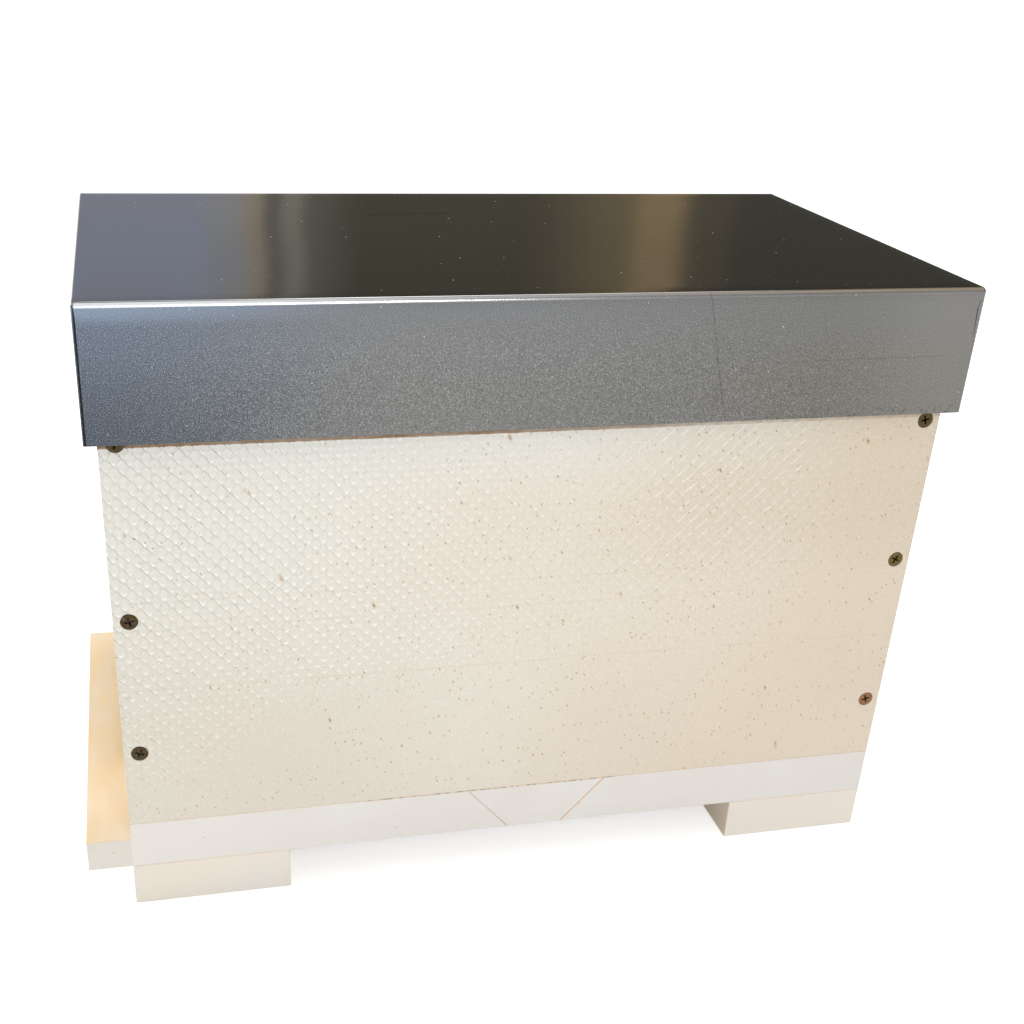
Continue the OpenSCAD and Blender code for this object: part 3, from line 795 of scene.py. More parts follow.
def bead_foam(colours):
    """White bead foam of the roof pad."""
    foam = Finish("Roof pad bead foam")
    beads = foam.cells(foam.scaled(foam.place, 1 / 3.6), {"feature": "DISTANCE_TO_EDGE"})
    edge = 1 - foam.smooth(beads, 0.0, 0.12)
    cloud = foam.noise(foam.place, 1 / 60, 2.0)
    base = foam.mix(edge * 0.35, colours.bead, colours.board)
    base = foam.mix(foam.smooth(cloud, 0.5, 0.8) * 0.3, base, colours.skin_warm)
    return foam.surface(
        Base_Color=base,
        Roughness=0.7 + 0.15 * edge,
        Normal=foam.bump(1 - edge, 0.25),
        Specular_IOR_Level=0.35,
    )


def knob_plastic(colours):
    """Black plastic with a moulded grain and rubbed edges."""
    plastic = Finish("Knob plastic")
    grain = plastic.noise(plastic.place, 1 / 0.5, 3.0)
    rub = plastic.noise(plastic.place, 1 / 3.0, 3.0)
    base = plastic.mix(plastic.smooth(rub, 0.5, 0.8) * 0.25, colours.knob, colours.dust)
    return plastic.surface(
        Base_Color=base,
        Roughness=0.38 + 0.2 * grain,
        Normal=plastic.bump(grain, 0.05),
    )


# Meshes


def object_of(mesh, name):
    """Puts a mesh into the scene at the origin."""
    made = bpy.data.objects.new(name, mesh)
    bpy.context.scene.collection.objects.link(made)
    return made


def drop(made):
    """Takes a helper object and its mesh out of the file."""
    mesh = made.data
    bpy.data.objects.remove(made)
    bpy.data.meshes.remove(mesh)


def evaluated_mesh(made):
    """The mesh that an object's modifiers give, as a plain mesh."""
    graph = bpy.context.evaluated_depsgraph_get()
    graph.update()
    return bpy.data.meshes.new_from_object(made.evaluated_get(graph))


def grown_mesh(made, tree, inputs):
    """The plain mesh that a node tree grows on an object; the tree is then taken out of the file."""
    modifier = made.modifiers.new(tree.name, "NODES")
    modifier.node_group = tree
    for key, given in inputs.items():
        modifier[key] = given
    mesh = evaluated_mesh(made)
    made.modifiers.remove(modifier)
    bpy.data.node_groups.remove(tree)
    if not mesh.polygons:
        raise RuntimeError(f"{made.name} came out empty")
    return mesh


def mesh_of(form, name):
    """Turns a bmesh into a mesh without custom normals."""
    mesh = bpy.data.meshes.new(name)
    form.to_mesh(mesh)
    form.free()
    kept = mesh.attributes.get("custom_normal")
    if kept is not None:
        mesh.attributes.remove(kept)
    return mesh


def soften(mesh, angle):
    """Shades a mesh smooth across edges flatter than an angle in degrees."""
    mesh.shade_smooth()
    mesh.set_sharp_from_angle(angle=math.radians(angle))


def crisp_flats(mesh, directions):
    """Marks the edges of the flat faces that look along given directions, so that they shade evenly."""
    for face in mesh.polygons:
        if any(face.normal.dot(direction) > FACING for direction in directions):
            for corner in face.loop_indices:
                mesh.edges[mesh.loops[corner].edge_index].use_edge_sharp = True


def cad_form(node, edge):
    """Copies a CAD node's solid, merged, with its long outside edges eased."""
    form = bmesh.new()
    form.from_mesh(frame["nodes"][node].data)
    bmesh.ops.remove_doubles(form, verts=form.verts[:], dist=MERGE)
    bmesh.ops.dissolve_limit(form, angle_limit=FLAT, verts=form.verts[:], edges=form.edges[:])
    long_edges = [
        line for line in form.edges
        if line.is_manifold and line.is_convex and line.calc_length() > LONG_EDGE
        and line.calc_face_angle() > SHARP
    ]
    bmesh.ops.bevel(
        form, geom=long_edges, offset=edge, segments=2, profile=0.5, affect="EDGES", clamp_overlap=True
    )
    return form


def carve(target, tool, operation):
    """Cuts one closed mesh object by another and leaves the result as its plain mesh."""
    modifier = target.modifiers.new("Carve", "BOOLEAN")
    modifier.object = tool
    modifier.operation = operation
    modifier.solver = "MANIFOLD"
    result = evaluated_mesh(target)
    target.modifiers.remove(modifier)
    if not result.polygons:
        raise RuntimeError(f"carving {target.name} left nothing")
    old = target.data
    target.data = result
    bpy.data.meshes.remove(old)


def hand_over(piece, node, material):
    """Gives a piece its finish and lets it stand for a CAD node."""
    piece.data.materials.clear()
    piece.data.materials.append(material)
    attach(piece, BODY_OF[node])
    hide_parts(node)


def dress(node, material):
    """Gives a kept CAD node a better finish."""
    mesh = frame["nodes"][node].data
    mesh.materials.clear()
    mesh.materials.append(material)


def eased_board(node, name, edge, material):
    """A board that follows its CAD node, with eased edges."""
    mesh = mesh_of(cad_form(node, edge), name)
    soften(mesh, BOARD_CREASE)
    crisp_flats(mesh, [sign * axis for axis in AXES for sign in (1, -1)])
    hand_over(object_of(mesh, name), node, material)


# Embossed walls


def socket_in(tree, name, kind):
    """Adds a named input to a node tree and returns its identifier."""
    return tree.interface.new_socket(name=name, in_out="INPUT", socket_type=kind).identifier


def diamond_tree():
    """A sheet of pressed dimples on a square grid turned by an eighth of a turn."""
    tree = bpy.data.node_groups.new("Diamond skin", "GeometryNodeTree")
    keys = {
        "span": socket_in(tree, "Span", "NodeSocketFloat"),
        "count": socket_in(tree, "Cells", "NodeSocketInt"),
        "depth": socket_in(tree, "Depth", "NodeSocketFloat"),
        "lift": socket_in(tree, "Lift", "NodeSocketFloat"),
        "material": socket_in(tree, "Material", "NodeSocketMaterial"),
    }
    tree.interface.new_socket(name="Geometry", in_out="OUTPUT", socket_type="NodeSocketGeometry")
    skin = Graph(tree)
    span = skin.node("NodeGroupInput", output="Span")
    where = skin.node("GeometryNodeInputPosition")
    grid = diamond_grid(skin, span, where)
    press = press_depth(skin, where, span.other("Depth"))
    dimpled = pressed_dimples(skin, grid, where, press, span.other("Lift"))
    marked = diamond_marks(skin, dimpled, where)
    whole = skin.node("GeometryNodeRealizeInstances", inputs={"Geometry": marked})
    done = skin.node(
        "GeometryNodeSetMaterial", inputs={"Geometry": whole, "Material": span.other("Material")}
    )
    skin.feed(tree.nodes.new("NodeGroupOutput").inputs["Geometry"], done)
    return tree, keys


def seeded_noise(skin, where, noise, output=0):
    """Noise with a fixed seed, which its fourth place gives."""
    return skin.node(
        "ShaderNodeTexNoise", {"noise_dimensions": "4D"}, {"Vector": where, **noise}, output
    )


def diamond_grid(skin, span, where):
    """The turned grid, whose corners stray a little."""
    corners = span.other("Cells") + 1
    grid = skin.node(
        "GeometryNodeMeshGrid",
        inputs={"Size X": span, "Size Y": span, "Vertices X": corners, "Vertices Y": corners},
    )
    turned = skin.node(
        "GeometryNodeTransform", inputs={"Geometry": grid, "Rotation": (0.0, 0.0, math.pi / 4)}
    )
    run, rise, _ = skin.axes(seeded_noise(skin, where, STRAY_NOISE, "Color"))
    drift = skin.vector((run - 0.5) * STRAY, (rise - 0.5) * STRAY, 0.0)
    return skin.node("GeometryNodeSetPosition", inputs={"Geometry": turned, "Offset": drift})


def press_depth(skin, where, depth):
    """Depth of the dimples: most at the entrance end and high up, least low down and at the rear."""
    run, rise, _ = skin.axes(where)
    patch = seeded_noise(skin, where, PATCH_NOISE)
    entrance_end = 1 - skin.smooth(run, -0.19, -0.02)
    kept = skin.smooth(rise, -0.09, 0.03) * (0.26 + 0.14 * patch + 0.30 * entrance_end)
    edge = skin.smooth(rise, -0.14, -0.05) * (1 - skin.smooth(run, -0.24, -0.15)) * 0.3
    return depth * (0.07 + 0.16 * patch + kept + edge) * (1 - 0.7 * skin.smooth(run, 0.15, 0.22))


def pressed_dimples(skin, grid, where, press, lift):
    """Presses every cell in two steps, the first of them shifted upwards."""
    selected = None
    shaped = grid
    shifts = (skin.vector(0.0, lift, 0.0), (0.0, 0.0, 0.0))
    for (share, width), shift in zip(DIMPLE_STEPS, shifts):
        inputs = {"Mesh": shaped, "Offset Scale": press * -share, "Individual": True}
        if selected is not None:
            inputs["Selection"] = selected
        pressed = skin.node("GeometryNodeExtrudeMesh", {"mode": "FACES"}, inputs)
        selected = pressed.other("Top")
        centre = skin.node("ShaderNodeVectorMath", {"operation": "ADD"}, {0: where, 1: shift})
        shaped = skin.node(
            "GeometryNodeScaleElements",
            {"domain": "FACE"},
            {"Geometry": pressed, "Selection": selected, "Scale": width, "Center": centre},
        )
    return shaped


def diamond_marks(skin, shaped, where):
    """Marks the dimples' upper flanks, which get painted shade, and their lower flanks and the lips at their
    lowest corners, which get painted highlights.
    """
    def on_faces(value):
        return skin.node(
            "GeometryNodeFieldOnDomain", {"data_type": "FLOAT_VECTOR", "domain": "FACE"}, {0: value}
        )

    lean_run, lean_rise, _ = skin.axes(on_faces(skin.node("GeometryNodeInputNormal")))
    _, middle_rise, _ = skin.axes(on_faces(where))
    _, corner_rise, _ = skin.axes(where)
    facing_down = skin.smooth(lean_rise, -0.08, -0.45)
    facing_up = skin.smooth(lean_rise, 0.02, 0.12)
    marks = (
        ("crease", "FACE", facing_down * (0.12 + 0.88 * skin.smooth(lean_run, 0.1, -0.1))),
        ("flank", "FACE", skin.smooth(lean_rise, 0.06, 0.3) * skin.smooth(lean_run, 0.0, -0.2)),
        ("lip", "CORNER", facing_up * skin.smooth(middle_rise - corner_rise, -0.5 * MM, 0.5 * MM)),
    )
    for name, domain, mark in marks:
        shaped = skin.node(
            "GeometryNodeStoreNamedAttribute",
            {"data_type": "FLOAT", "domain": domain},
            {"Geometry": shaped, "Name": name, "Value": mark},
        )
    return shaped


def diamond_slab(wide, tall, thick, sizes, material):
    """A closed slab in its own plane, dimpled on its upper face and larger than the wall."""
    tree, keys = diamond_tree()
    pitch = sizes.diamond / math.sqrt(2)
    cells = math.ceil((wide + tall) / math.sqrt(2) / pitch) + SPARE_CELLS
    made = object_of(bpy.data.meshes.new("Diamond slab"), "Diamond slab")
    skin = grown_mesh(made, tree, {
        keys["span"]: cells * pitch,
        keys["count"]: cells,
        keys["depth"]: sizes.emboss,
        keys["lift"]: sizes.emboss_lift,
        keys["material"]: material,
    })
    form = bmesh.new()
    form.from_mesh(skin)
    bpy.data.meshes.remove(skin)
    rim = [line for line in form.edges if line.is_boundary]
    grown = bmesh.ops.extrude_edge_only(form, edges=rim)["geom"]
    for corner in grown:
        if isinstance(corner, bmesh.types.BMVert):
            corner.co.z = -thick
    open_edges = [part for part in grown if isinstance(part, bmesh.types.BMEdge) and part.is_boundary]
    bmesh.ops.edgeloop_fill(form, edges=open_edges)
    bmesh.ops.recalc_face_normals(form, faces=form.faces[:])
    form.to_mesh(made.data)
    form.free()
    return made


def embossed_wall(node, name, outward, sizes, material):
    """A wall board whose outer face carries the diamond skin, with every hole of its CAD node."""
    low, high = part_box(node)
    middle = (low + high) / 2
    upright = Vector((0, 0, 1))
    along = upright.cross(outward)
    wide = abs((high - low).dot(along))
    thick = abs((high - low).dot(outward))
    slab = diamond_slab(wide, high.z - low.z, 2 * thick, sizes, material)
    face = middle + outward * (thick / 2 - SKIN_SINK)
    turn = Matrix((along, upright, outward)).transposed().to_4x4()
    slab.data.transform(Matrix.Translation(face) @ turn)
    wall = object_of(mesh_of(cad_form(node, sizes.joint_edge), name), name)
    carve(wall, slab, "INTERSECT")
    drop(slab)
    soften(wall.data, WALL_CREASE)
    crisp_flats(wall.data, (along, -along, upright, -upright, -outward))
    hand_over(wall, node, material)


# Roof


class RoofShape:
    """Level rings of a folded sheet with a tab beside each upright corner."""

    LONG_STEPS = 44
    END_STEPS = 24
    ARC_STEPS = 5
    FLANGE_STEPS = 16
    BEND_STEPS = 8
    CORNERS = ((-1, -1), (1, -1), (1, 1), (-1, 1))
    NEAR_REAR = (1, -1)

    # Share of the long bends' radius that the end bends have, and the least radius of a corner
    END_BEND = 0.5
    LEAST_CORNER = 0.3 * MM

    # Width from which a tab has its whole step, and distance within which points are joined
    TAB_STEPPED = 0.5 * MM
    JOINED = 5e-6

    # Depths under the top at which the tabs have grown, and the wide tab has grown and shrunk again
    TAB_GROWN = 5 * MM
    BULGE_GROWN = 13 * MM
    BULGE_GONE = 40 * MM

    # Slow waves of the sheet, in radians per metre along and across the roof, with their phases
    WAVES = ((21.0, 0.8), (27.0, 1.9))

    def __init__(self, sizes):
        self.low, self.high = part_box("roof_sheet")
        self.sizes = sizes
        self.depth = 0.0
        self.form = bmesh.new()
        self.seam = self.form.verts.layers.float.new("seam")
        self.fold = self.form.verts.layers.float.new("fold")

    def wave(self, spot):
        """Slow hollows of the sheet, from 0 to 1."""
        (long_rate, long_phase), (wide_rate, wide_phase) = self.WAVES
        long_wave = math.cos(long_rate * spot.x + long_phase)
        return 0.5 - 0.5 * long_wave * math.cos(wide_rate * spot.y + wide_phase)

    def tab_width(self, ends, side, under_top):
        """Width of a corner's tab at a depth under the roof's top."""
        width = self.sizes.seam * min(1.0, under_top / self.TAB_GROWN)
        if (ends, side) == self.NEAR_REAR:
            rise = min(1.0, under_top / self.BULGE_GROWN)
            left = (self.BULGE_GONE - under_top) / (self.BULGE_GONE - self.BULGE_GROWN)
            width = 0.45 * width + self.sizes.seam_bulge * rise * max(0.0, min(1.0, left))
        return width

    def end_inset(self, inset):
        """Inset of the end flanges, whose bends are tighter than the long ones."""
        thick = min(inset, self.depth)
        return thick + (inset - thick) * self.END_BEND

    def corner(self, ends, side, level, inset, radius, fade):
        """Points of one corner, from the long flange round to the end flange, with their seam marks, which
        darken the seam and, as painted shade, the corner's bend.
        """
        end_inset = self.end_inset(inset)
        end_plane = (self.high.x - end_inset) if ends > 0 else (self.low.x + end_inset)
        side_plane = (self.high.y - inset) if side > 0 else (self.low.y + inset)
        tab = self.tab_width(ends, side, self.high.z - level) * fade
        step = self.sizes.seam_step * fade * min(1.0, tab / self.TAB_STEPPED)
        edge_x = end_plane - ends * (radius + tab)
        points = [
            (Vector((edge_x, side_plane, level)), 0.0),
            (Vector((edge_x, side_plane - side * step, level)), 1.0),
        ]
        for index in range(self.ARC_STEPS + 1):
            share = index / self.ARC_STEPS
            angle = share * math.pi / 2
            reach = max(0.0, radius - step * (1 - share))
            spot = Vector((
                end_plane - ends * radius + ends * reach * math.sin(angle),
                side_plane - side * radius + side * reach * math.cos(angle),
                level,
            ))
            # The seam mark also darkens the corner's bend as painted shade, except at the near rear corner
            light_tab = (ends, side) == self.NEAR_REAR
            points.append((spot, 0.0 if light_tab else 0.8 * (1 - 0.4 * share) * fade))
        return points

    def ring(self, level, inset, radius, fade, hollow, folded):
        """One level ring of vertices, counter-clockwise from the near entrance corner."""
        corners = [self.corner(ends, side, level, inset, radius, fade) for ends, side in self.CORNERS]
        marked = []
        for index in range(4):
            here = corners[index]
            after = corners[(index + 1) % 4]
            here = here[::-1] if index % 2 == 0 else here
            after = after if index % 2 == 0 else after[::-1]
            steps = self.LONG_STEPS if index % 2 == 0 else self.END_STEPS
            marked += here
            start = here[-1][0]
            stop = after[0][0]
            inward = Vector((start.y - stop.y, stop.x - start.x, 0)).normalized()
            for place in range(1, steps):
                share = place / steps
                spot = start.lerp(stop, share)
                bow = math.sin(math.pi * share) * hollow
                marked.append((spot + inward * bow, 0.0))
        ring = []
        for spot, mark in marked:
            made = self.form.verts.new(spot)
            made[self.seam] = mark
            made[self.fold] = folded
            ring.append(made)
        return ring

    def bridge(self, first, second):
        """Quads between two rings."""
        count = len(first)
        for index in range(count):
            after = (index + 1) % count
            self.form.faces.new((first[index], first[after], second[after], second[index]))

    def side_of(self, ring, index):
        """Vertices of one side of the uppermost ring, from corner to corner."""
        corner = self.ARC_STEPS + 3
        steps = (self.LONG_STEPS, self.END_STEPS)
        start = (index + 1) * corner + sum(steps[turn % 2] - 1 for turn in range(index)) - 1
        count = steps[index % 2]
        return [ring[(start + place) % len(ring)] for place in range(count + 1)]

    def lid(self, ring, level):
        """Grid that closes the uppermost ring, with slow waves."""
        near = self.side_of(ring, 0)
        right = self.side_of(ring, 1)
        far = self.side_of(ring, 2)[::-1]
        left = self.side_of(ring, 3)[::-1]
        rows = [near]
        for row in range(1, self.END_STEPS):
            line = [left[row]]
            for column in range(1, self.LONG_STEPS):
                share = row / self.END_STEPS
                spot = near[column].co.lerp(far[column].co, share)
                long_share = column / self.LONG_STEPS
                calm = min(1.0, 8 * min(share, 1 - share, long_share, 1 - long_share))
                spot.z = level - self.sizes.sheet_wave * calm * self.wave(spot)
                made = self.form.verts.new(spot)
                made[self.fold] = 1.0
                line.append(made)
            line.append(right[row])
            rows.append(line)
        rows.append(far)
        for lower, upper in zip(rows, rows[1:]):
            for column in range(self.LONG_STEPS):
                self.form.faces.new(
                    (lower[column], lower[column + 1], upper[column + 1], upper[column])
                )

    def shell(self, depth):
        """One face of the sheet, at a depth inside its outer face; returns its lowest ring."""
        bend = self.sizes.bend
        self.depth = depth
        radius = bend - depth
        upright = max(self.LEAST_CORNER, self.sizes.corner - depth)
        rows = []
        bend_foot = self.high.z - bend
        for index in range(self.FLANGE_STEPS + 1):
            share = index / self.FLANGE_STEPS
            level = self.low.z + (bend_foot - self.low.z) * share
            hollow = self.sizes.sheet_wave * math.cos(share * math.pi / 2)
            rows.append((level, depth, upright, hollow, 0.0))
        for index in range(1, self.BEND_STEPS + 1):
            share = index / self.BEND_STEPS
            angle = share * math.pi / 2
            level = bend_foot + radius * math.sin(angle)
            swing = math.cos(angle)
            rows.append((level, bend - radius * swing, upright * swing, 0.0, share))
        tabbed = 0.0 if depth else 1.0
        rings = []
        for level, inset, corner, hollow, folded in rows:
            fade = tabbed * (corner / upright)
            rings.append(self.ring(level, inset, corner, fade, hollow, folded))
        for lower, upper in zip(rings, rings[1:]):
            self.bridge(lower, upper)
        self.lid(rings[-1], self.high.z - depth)
        return rings[0]

    def build(self):
        """The whole sheet as a closed mesh."""
        outer = self.shell(0.0)
        inner = self.shell(self.sizes.sheet)
        self.bridge(outer, inner)
        bmesh.ops.remove_doubles(self.form, verts=self.form.verts[:], dist=self.JOINED)
        bmesh.ops.dissolve_degenerate(self.form, dist=MERGE, edges=self.form.edges[:])
        bmesh.ops.recalc_face_normals(self.form, faces=self.form.faces[:])
        return mesh_of(self.form, "folded_roof_sheet")


# Fixings


def turned_form(outline, steps):
    """A closed body turned about the upright axis from a half outline of (radius, height)."""
    form = bmesh.new()
    rings = []
    for radius, height in outline:
        if radius == 0:
            rings.append([form.verts.new((0, 0, height))] * steps)
            continue
        rings.append([
            form.verts.new((
                radius * math.cos(2 * math.pi * turn / steps),
                radius * math.sin(2 * math.pi * turn / steps),
                height,
            ))
            for turn in range(steps)
        ])
    for upper, lower in zip(rings, rings[1:]):
        for turn in range(steps):
            after = (turn + 1) % steps
            loop = [upper[turn], lower[turn], lower[after], upper[after]]
            form.faces.new(list(dict.fromkeys(loop)))
    bmesh.ops.recalc_face_normals(form, faces=form.faces[:])
    return form


def cross_tool(span, width, depth, taper):
    """Two tapered bars that cut a cross recess, as separate closed objects."""
    tools = []
    for turn in (0.0, math.pi / 2):
        form = bmesh.new()
        slope = taper * RECESS_OVER / depth
        rows = ((RECESS_OVER, span + slope, width), (-depth, span - taper, width * RECESS_NARROW))
        rings = []
        for height, long, wide in rows:
            rings.append([
                form.verts.new((long / 2 * sign_x, wide / 2 * sign_y, height))
                for sign_x, sign_y in ((-1, -1), (1, -1), (1, 1), (-1, 1))
            ])
        form.faces.new(rings[0])
        form.faces.new(rings[1][::-1])
        for index in range(4):
            after = (index + 1) % 4
            form.faces.new((rings[0][index], rings[1][index], rings[1][after], rings[0][after]))
        bmesh.ops.recalc_face_normals(form, faces=form.faces[:])
        bmesh.ops.rotate(form, verts=form.verts[:], matrix=Matrix.Rotation(turn, 3, "Z"))
        tools.append(object_of(mesh_of(form, "Cross tool"), "Cross tool"))
    return tools


def fixing_template(outline, steps, direction, recess):
    """One screw or nail whose head looks along a direction, its head's top at the origin."""
    made = object_of(mesh_of(turned_form(outline, steps), "Fixing"), "Fixing")
    if recess:
        for tool in cross_tool(*recess):
            carve(made, tool, "DIFFERENCE")
            drop(tool)
    mesh = made.data
    mark = mesh.attributes.new("recess", "FLOAT", "POINT")
    if recess:
        span, _, depth, _ = recess
        for corner in mesh.vertices:
            inside = math.hypot(corner.co.x, corner.co.y) < span / 2 - RECESS_ENDS
            if inside and -depth - RECESS_BOTTOM < corner.co.z < -RECESS_MOUTH:
                mark.data[corner.index].value = 1.0
    soften(mesh, FIXING_CREASE)
    mesh.transform(direction.to_track_quat("Z", "Y").to_matrix().to_4x4())
    return made


def fixing_tree():
    """Puts one fixing at every point, each turned about its own axis by a seeded amount."""
    tree = bpy.data.node_groups.new("Fixings", "GeometryNodeTree")
    socket_in(tree, "Geometry", "NodeSocketGeometry")
    keys = {
        "fixing": socket_in(tree, "Fixing", "NodeSocketObject"),
        "axis": socket_in(tree, "Axis", "NodeSocketVector"),
        "seed": socket_in(tree, "Seed", "NodeSocketInt"),
        "material": socket_in(tree, "Material", "NodeSocketMaterial"),
    }
    tree.interface.new_socket(name="Geometry", in_out="OUTPUT", socket_type="NodeSocketGeometry")
    rows = Graph(tree)
    points = rows.node("NodeGroupInput", output="Geometry")
    template = rows.node(
        "GeometryNodeObjectInfo", inputs={"Object": points.other("Fixing")}, output="Geometry"
    )
    turn = rows.node(
        "FunctionNodeRandomValue",
        {"data_type": "FLOAT"},
        {"Min": 0.0, "Max": math.pi / 2, "Seed": points.other("Seed")},
        output=1,
    )
    spin = rows.node(
        "FunctionNodeAxisAngleToRotation", inputs={"Axis": points.other("Axis"), "Angle": turn}
    )
    placed = rows.node(
        "GeometryNodeInstanceOnPoints",
        inputs={"Points": points, "Instance": template, "Rotation": spin},
    )
    whole = rows.node("GeometryNodeRealizeInstances", inputs={"Geometry": placed})
    done = rows.node(
        "GeometryNodeSetMaterial", inputs={"Geometry": whole, "Material": points.other("Material")}
    )
    rows.feed(tree.nodes.new("NodeGroupOutput").inputs["Geometry"], done)
    return tree, keys


def fixing_places(node, direction):
    """Where the head of each fixing of a CAD node is, from the node's separate solids."""
    form = bmesh.new()
    form.from_mesh(frame["nodes"][node].data)
    bmesh.ops.remove_doubles(form, verts=form.verts[:], dist=MERGE)
    left = set(form.verts)
    places = []
    while left:
        found = {left.pop()}
        edge = list(found)
        while edge:
            corner = edge.pop()
            for line in corner.link_edges:
                after = line.other_vert(corner)
                if after in left:
                    left.remove(after)
                    found.add(after)
                    edge.append(after)
        low = Vector([min(corner.co[axis] for corner in found) for axis in range(3)])
        high = Vector([max(corner.co[axis] for corner in found) for axis in range(3)])
        middle = (low + high) / 2
        places.append(middle + direction * abs((high - low).dot(direction)) / 2)
    form.free()
    return sorted(places, key=lambda spot: tuple(round(part, 5) for part in spot))


def fixings(node, name, template, direction, sink, seed, material):
    """All fixings of a CAD node as one mesh."""
    spots = [spot - direction * sink for spot in fixing_places(node, direction)]
    mesh = bpy.data.meshes.new(name)
    mesh.from_pydata(spots, [], [])
    piece = object_of(mesh, name)
    tree, keys = fixing_tree()
    piece.data = grown_mesh(piece, tree, {
        keys["fixing"]: template,
        keys["axis"]: direction,
        keys["seed"]: seed,
        keys["material"]: material,
    })
    bpy.data.meshes.remove(mesh)
    hand_over(piece, node, material)


def countersunk_outline(sizes, long):
    """Half outline of a countersunk screw, head up."""
    head = sizes.head_dia / 2
    shank = sizes.shank_dia / 2
    rim = 0.25 * MM
    return [
        (0, 0),
        (head - 3 * rim, 0),
        (head - rim, -0.35 * rim),
        (head, -1.2 * rim),
        (head, -2 * rim),
        (shank, -2 * rim - (head - shank)),
        (shank, -long + SCREW_TAPER),
        (0.35 * shank, -long + SCREW_POINT),
        (0, -long),
    ]


def domed_outline(head_dia, head_tall, dia, long):
    """Half outline of a nail or screw with a domed head, its top at the origin."""
    head = head_dia / 2
    return [
        (0, 0),
        (0.35 * head, -0.05 * head_tall),
        (0.68 * head, -0.22 * head_tall),
        (0.92 * head, -0.52 * head_tall),
        (head, -0.85 * head_tall),
        (0.97 * head, -head_tall),
        (dia / 2, -head_tall),
        (dia / 2, -head_tall - long + dia),
        (0, -head_tall - long),
    ]


# Stage


def studio_floor(ground):
    """A wide pale floor just under the feet."""
    form = bmesh.new()
    bmesh.ops.create_grid(form, x_segments=8, y_segments=8, size=FLOOR_REACH)
    mesh = mesh_of(form, "studio_floor")
    mesh.transform(Matrix.Translation((0, 0, -FLOOR_DROP)))
    mesh.materials.append(floor_material(ground))
    floor = object_of(mesh, "studio_floor")


def floor_material(ground):
    """Pale floor that reads white to the camera and in reflections, and keeps its shadows."""
    floor = Finish("Studio floor")
    rays = floor.node("ShaderNodeLightPath", output="Is Camera Ray")
    seen = CAMERA_GLOW * rays + rays.other("Is Glossy Ray") + rays.other("Is Transmission Ray")
    lift = floor.node(
        "ShaderNodeEmission", inputs={"Color": (1.0, 1.0, 1.0), "Strength": seen * FLOOR_GLOW}
    )
    floor.surface(Base_Color=ground, Roughness=1.0, Specular_IOR_Level=0.0)
    both = floor.node("ShaderNodeAddShader", inputs={0: Value(floor, floor.shader.outputs[0]), 1: lift})
    floor.feed(floor.tree.nodes["Material Output"].inputs["Surface"], both)
    return floor.material


def studio_world():
    """Soft light all round, brighter above, with a dim wall beyond the box that the roof mirrors."""
    world = bpy.data.worlds.new("Studio")
    world.use_nodes = True
    sky = Graph(world.node_tree)
    across, along, up = sky.axes(sky.node("ShaderNodeTexCoord", output="Generated"))
    heading = across.calc("DEGREES", across.calc("ARCTAN2", across, along))
    height = up.calc("DEGREES", up.calc("ARCSINE", up))
    light = sky.mix(sky.smooth(across, -0.8, 0.8), (0.475, 0.50, 0.545), (0.54, 0.50, 0.435))
    window = sky.smooth(abs(heading), 157.0, 175.0) * sky.band(height, 6.0, 60.0, 8.0)
    light = sky.mix(window, light, (1.06, 1.09, 1.16))
    light = sky.mix(sky.smooth(height, 32.0, 70.0), light, (1.0, 0.99, 0.97))
    wall = sky.band(heading, -30.0, 48.0, 24.0) * (1 - sky.smooth(height, 26.0, 44.0))
    seen = sky.mix(wall, light, dim_wall(sky, heading, height))
    sky.feed(world.node_tree.nodes["Background"].inputs["Color"], seen)
    return world


def dim_wall(sky, heading, height):
    """Tones of the wall beyond the box: blue, grey and tan, then dark brown with one lighter band."""
    blue = sky.mix(sky.smooth(height, 10.9, 12.2), (0.365, 0.37, 0.445), (0.385, 0.44, 0.59))
    blue = sky.mix(sky.smooth(height, 12.5, 13.7), blue, (0.41, 0.425, 0.51))
    brown = sky.mix(sky.smooth(heading, 14.0, 28.0), (0.115, 0.104, 0.079), (0.088, 0.084, 0.07))
    dim = sky.mix(sky.smooth(heading, 2.9, 3.5), blue, (0.395, 0.40, 0.425))
    dim = sky.mix(sky.smooth(heading, 4.5, 4.9), dim, (0.42, 0.365, 0.285))
    dim = sky.mix(sky.smooth(heading, 5.4, 5.75), dim, (0.175, 0.17, 0.15))
    dim = sky.mix(sky.band(heading, 6.45, 7.05, 0.3), dim, (0.315, 0.295, 0.25))
    dim = sky.mix(sky.smooth(heading, 7.1, 7.5), dim, (0.18, 0.17, 0.145))
    dim = sky.mix(sky.smooth(heading, 7.2, 9.8), dim, brown)
    glow = 0.55 * sky.smooth(heading, 16.0, 21.6) + 0.45 * sky.smooth(heading, 20.7, 21.5)
    glow = glow * (1 - sky.smooth(heading, 22.6, 23.6)) + 0.13 * sky.band(heading, 23.6, 24.6, 0.8)
    return sky.mix(glow, dim, (0.35, 0.265, 0.155))


def softbox(scene, name, place, aim, size, power, tint):
    """A square area lamp turned towards a point."""
    lamp = bpy.data.lights.new(name, "AREA")
    lamp.shape = "SQUARE"
    lamp.size = size
    lamp.energy = power
    lamp.color = tint
    made = bpy.data.objects.new(name, lamp)
    made.location = place
    made.rotation_euler = (Vector(aim) - Vector(place)).to_track_quat("-Z", "Y").to_euler()
    made.visible_camera = False
    scene.collection.objects.link(made)


